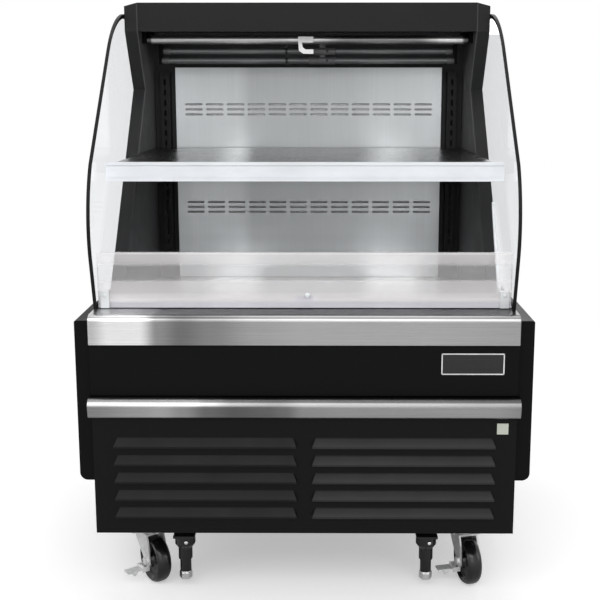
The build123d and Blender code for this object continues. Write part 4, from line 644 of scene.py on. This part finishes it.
for corner, turn in zip(CORNERS, (36, 12.5, 158, 196)):
    castor_wheel(corner, turn)


# ---------------------------------------- pieces: guard, wall edge, slots, screws

def guard_fittings():
    """The small clear knob at the middle of the guard, and a bracket with a screw at each end."""
    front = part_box("guard_glass")[0].y
    screw_height = 661 * MM
    knob = bmesh.new()
    dome(knob, (6 * MM, front, screw_height), (0, -1, 0), 5.5 * MM, 4.5 * MM)
    new_piece("guard_knob", knob, "case", "clear_edge")
    brackets = bmesh.new()
    for side in (-1, 1):
        left, right = sorted((side * 397 * MM, side * 416 * MM))
        slab(brackets, (left, front - 4 * MM, 634.2 * MM), (right, front - 0.2 * MM, 671 * MM),
             1.6 * MM)
        dome(brackets, ((left + right) / 2, front - 4 * MM, screw_height), (0, -1, 0),
             4 * MM, 2 * MM)
    new_piece("guard_brackets", brackets, "case", "clear_edge")


def wall_edge_highlight_strip():
    """A pale tapering strip down the lower front edge of the right-hand wall, which stands in for
    the bright highlight along that edge: a painted highlight.
    """
    # Depth and height of the edge, from its top
    spine = ((300, 822), (290, 808), (257, 763), (224, 718), (192, 676), (166, 641))
    x = 421 * MM
    strip = bmesh.new()
    rows = []
    for i, (depth, height) in enumerate(spine):
        share = i / (len(spine) - 1)
        width = (2.5 + 7.0 * share) * MM
        y, z = back(depth), height * MM
        lift = Vector((0, -0.80, 0.60)) * (1.2 + 1.2 * share) * MM
        inner, crest, outer = (Vector((x - inset, y, z)) for inset in (width, width / 2, 0.2 * MM))
        corners = [inner, inner + lift * 0.7, crest + lift, outer + lift * 0.7, outer]
        rows.append([strip.verts.new(corner) for corner in corners])
    for upper, lower in zip(rows, rows[1:]):
        for k in range(5):
            face = strip.faces.new((upper[k], upper[(k + 1) % 5], lower[(k + 1) % 5], lower[k]))
            face.smooth = k in (1, 2)
    strip.faces.new(rows[0][::-1])
    strip.faces.new(rows[-1])
    bmesh.ops.recalc_face_normals(strip, faces=strip.faces[:])
    new_piece("wall_edge_highlight_strip", strip, "case", "clear_edge")


def slot_lips():
    """The pressed lip behind every slot of the back panel."""
    lips = bmesh.new()
    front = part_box("back_panel")[0].y
    # Depth behind the panel's face and height above the slot's middle
    bend = ((0.3, -2.7), (1.8, -2.5), (3.6, -1.2), (5.0, 0.9), (5.8, 3.0))
    section = bend + tuple((depth + 0.7, height - 0.5) for depth, height in reversed(bend))
    half_length, columns, column_pitch, row_pitch = 21, 12, 52.9, 12.7
    middles = [(column - (columns - 1) / 2) * column_pitch for column in range(columns)]
    levels = [level + row * row_pitch for level in (773, 1022) for row in (-1, 0, 1)]
    for level in levels:
        for middle in middles:
            ends = []
            for x in (middle - half_length, middle + half_length):
                ends.append([lips.verts.new((x * MM, front + depth * MM, (level + height) * MM))
                             for depth, height in section])
            left, right = ends
            for i in range(len(section)):
                j = (i + 1) % len(section)
                lips.faces.new((left[i], right[i], right[j], left[j]))
            lips.faces.new(left[::-1])
            lips.faces.new(right)
    bmesh.ops.recalc_face_normals(lips, faces=lips.faces[:])
    new_piece("slot_lips", lips, "case", "slot_steel")


def back_panel_hem():
    """The folded lower edge of the back panel, down to the level of the deck."""
    low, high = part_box("back_panel")
    hem = bmesh.new()
    slab(hem, (low.x + 0.5 * MM, low.y + 0.1 * MM, low.z - 5.5 * MM),
         (high.x - 0.5 * MM, low.y + 2.4 * MM, low.z + 0.3 * MM), 0.6 * MM)
    new_piece("back_panel_hem", hem, "case", "steel_back")


def cover_screws():
    """Screws round the edge of the rear cover."""
    screws = bmesh.new()
    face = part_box("rear_cover")[1].y
    columns, rows = (-405, -135, 135, 405), (192, 480, 780, 1080, 1246)
    for x in columns:
        outer = x in (columns[0], columns[-1])
        for z in rows if outer else (rows[0], rows[-1]):
            dome(screws, (x * MM, face - 0.1 * MM, z * MM), (0, 1, 0), 5 * MM, 2.6 * MM)
    new_piece("cover_screws", screws, "case", "zinc")


guard_fittings()
wall_edge_highlight_strip()
slot_lips()
back_panel_hem()
cover_screws()


# ---------------------------------------- pieces: lamps

def lamp_fittings():
    """End caps, middle sleeves with their hangers, and the clips of the two lamp tubes."""
    caps = bmesh.new()
    clips = bmesh.new()
    ceiling = 1204.5 * MM
    cap = ((7.1 * MM, 0.0), (7.7 * MM, 0.6 * MM), (7.7 * MM, 16 * MM), (7.3 * MM, 17 * MM))
    clip = ((7.3 * MM, 0.0), (8.1 * MM, 0.3 * MM), (8.1 * MM, 5.7 * MM), (7.3 * MM, 6 * MM))
    sleeve = ((7.3 * MM, 0.0), (8.3 * MM, 0.6 * MM), (8.3 * MM, 64 * MM), (7.3 * MM, 64.6 * MM))
    tubes = ((510, 1164, 350), (530, 1142, 357))  # depth, height and half length
    for depth, height, half_length in tubes:
        y, z = back(depth), height * MM
        for side in (-1, 1):
            lathe(caps, (side * (half_length - 17) * MM, y, z), (side, 0, 0), cap)
        lathe(clips, (-55 * MM, y, z), (1, 0, 0), clip)
        lathe(caps, (2 * MM, y, z), (1, 0, 0), sleeve)
        for mesh, left, right in ((clips, -55, -49), (caps, 28, 42)):
            slab(mesh, (left * MM, y - 2 * MM, z + 6 * MM), (right * MM, y + 2 * MM, ceiling),
                 0.5 * MM)
        dome(clips, (47 * MM, y - 7.9 * MM, z), (0, -1, 0), 3 * MM, 1.6 * MM)
    new_piece("lamp_end_caps", caps, "case", "lamp_end")
    new_piece("lamp_clips", clips, "case", "plastic_black")


lamp_fittings()


# ---------------------------------------- pieces: the night curtain's cloth

def curtain_cloth():
    """The stretch of cloth between the roll and its bar."""
    roll_low, roll_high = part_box("curtain_roll")
    bar_low, bar_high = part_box("curtain_bar")
    bare_end = 16 * MM
    half_width = (bar_high.x - bar_low.x) / 2 - bare_end
    top = Vector((0, roll_low.y + 1 * MM, (roll_low.z + roll_high.z) / 2))
    bottom = Vector((0, (bar_low.y + bar_high.y) / 2, (bar_low.z + bar_high.z) / 2 + 2 * MM))
    columns, rows, thickness, ripple = 96, 24, 0.5 * MM, 0.4 * MM
    mesh = bmesh.new()
    grid = []
    for i in range(rows + 1):
        share = i / rows
        place = top.lerp(bottom, share)
        line = []
        for j in range(columns + 1):
            x = -half_width + 2 * half_width * j / columns
            wave = ripple * math.sin(j * 0.55) * math.sin(math.pi * share)
            line.append(mesh.verts.new((x, place.y + wave, place.z)))
        grid.append(line)
    for i in range(rows):
        for j in range(columns):
            face = mesh.faces.new((grid[i][j], grid[i][j + 1], grid[i + 1][j + 1], grid[i + 1][j]))
            face.smooth = True
    bmesh.ops.solidify(mesh, geom=mesh.faces[:], thickness=thickness)
    piece = new_piece("curtain_cloth", mesh, None, "cloth")
    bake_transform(piece)


curtain_cloth()


# ---------------------------------------- studio

def studio_floor():
    """A plain pale floor that keeps the object's shadow and turns to the background's white away
    from it, for the camera and through the glass."""
    mesh = bmesh.new()
    bmesh.ops.create_circle(mesh, cap_ends=True, radius=14, segments=96)
    plane = bpy.data.meshes.new("studio_floor")
    mesh.to_mesh(plane)
    mesh.free()
    floor = bpy.data.objects.new("studio_floor", plane)
    scene.collection.objects.link(floor)
    floor.location.z = -0.2 * MM
    f = Finish("studio_floor")
    reach = f.node("VectorMath", {0: f.place}, operation="LENGTH").outputs["Value"]
    path = f.node("LightPath")
    seen = f.maths("MAXIMUM", path.outputs["Is Camera Ray"], path.outputs["Is Transmission Ray"])
    far = f.maths("MULTIPLY", f.span(reach, 0.0, 1.0, 0.9, 2.6), seen)
    pale = f.node("BsdfDiffuse", {"Color": (*grey(0.86), 1.0)})
    white, glow, dark = (f.node("Emission", {"Color": (*grey(shade), 1.0), "Strength": strength})
                         for shade, strength in ((1.0, 1.0), (1.0, 0.40), (0.0, 0.0)))
    lift = f.node("MixShader", {0: seen, 1: dark.outputs[0], 2: glow.outputs[0]})
    near = f.node("AddShader", {0: pale.outputs[0], 1: lift.outputs[0]})
    f.show(f.node("MixShader", {0: far, 1: near.outputs[0], 2: white.outputs[0]}).outputs[0])
    plane.materials.append(f.material)


def soft_box(name, place, target, size, power):
    """A rectangular light that looks at target."""
    lamp = bpy.data.lights.new(name, "AREA")
    lamp.shape = "RECTANGLE"
    lamp.size, lamp.size_y = size
    lamp.energy = power
    holder = bpy.data.objects.new(name, lamp)
    scene.collection.objects.link(holder)
    holder.location = place
    holder.rotation_euler = (Vector(target) - Vector(place)).to_track_quat("-Z", "Y").to_euler()


def studio_light():
    """A pale world that shows as white, a wide bank high in front, a light on each side, one above,
    a low fill in front and one behind."""
    world = bpy.data.worlds.new("studio")
    scene.world = world
    world.use_nodes = True
    tree = world.node_tree
    tree.nodes.clear()
    output = tree.nodes.new("ShaderNodeOutputWorld")
    path = tree.nodes.new("ShaderNodeLightPath")
    lit = tree.nodes.new("ShaderNodeBackground")
    lit.inputs["Strength"].default_value = 0.42
    seen = tree.nodes.new("ShaderNodeBackground")
    seen.inputs["Strength"].default_value = 1.0
    for background in (lit, seen):
        background.inputs["Color"].default_value = (1.0, 1.0, 1.0, 1.0)
    shown = path.outputs["Is Camera Ray"]
    for other in ("Is Glossy Ray", "Is Transmission Ray"):
        both = tree.nodes.new("ShaderNodeMath")
        both.operation = "MAXIMUM"
        tree.links.new(shown, both.inputs[0])
        tree.links.new(path.outputs[other], both.inputs[1])
        shown = both.outputs[0]
    mix = tree.nodes.new("ShaderNodeMixShader")
    tree.links.new(shown, mix.inputs[0])
    tree.links.new(lit.outputs[0], mix.inputs[1])
    tree.links.new(seen.outputs[0], mix.inputs[2])
    tree.links.new(mix.outputs[0], output.inputs["Surface"])
    soft_box("front_bank", (-0.3, -3.0, 2.7), (0, -0.3, 0.5), (4.4, 1.3), 46)
    soft_box("left_light", (-2.9, -1.6, 1.7), (0, 0, 0.7), (1.4, 1.8), 16)
    soft_box("right_light", (2.9, -1.4, 1.7), (0, 0, 0.7), (1.4, 1.8), 12)
    soft_box("top_light", (0.0, 0.1, 3.4), (0, 0, 0.7), (2.2, 1.8), 24)
    soft_box("front_fill", (0.4, -3.5, 1.35), (0, 0.2, 0.8), (3.0, 1.0), 11)
    soft_box("rear_light", (0.8, 3.2, 2.2), (0, 0, 0.7), (2.4, 1.8), 22)


def camera():
    """The photograph's viewing angle: from in front, a little right of the middle, below the
    header's height and tilted down."""
    down, left = 9.305, 0.29  # in degrees
    data = bpy.data.cameras.new("camera")
    data.sensor_width = 36
    data.lens = 56.7
    data.shift_x = -0.0320
    data.shift_y = -0.098
    holder = bpy.data.objects.new("camera", data)
    scene.collection.objects.link(holder)
    holder.location = (0.0393, -2.1684, 1.080)
    holder.rotation_euler = (math.radians(90 - down), 0, math.radians(left))
    scene.camera = holder


studio_floor()
studio_light()
camera()
scene.view_settings.view_transform = "Standard"
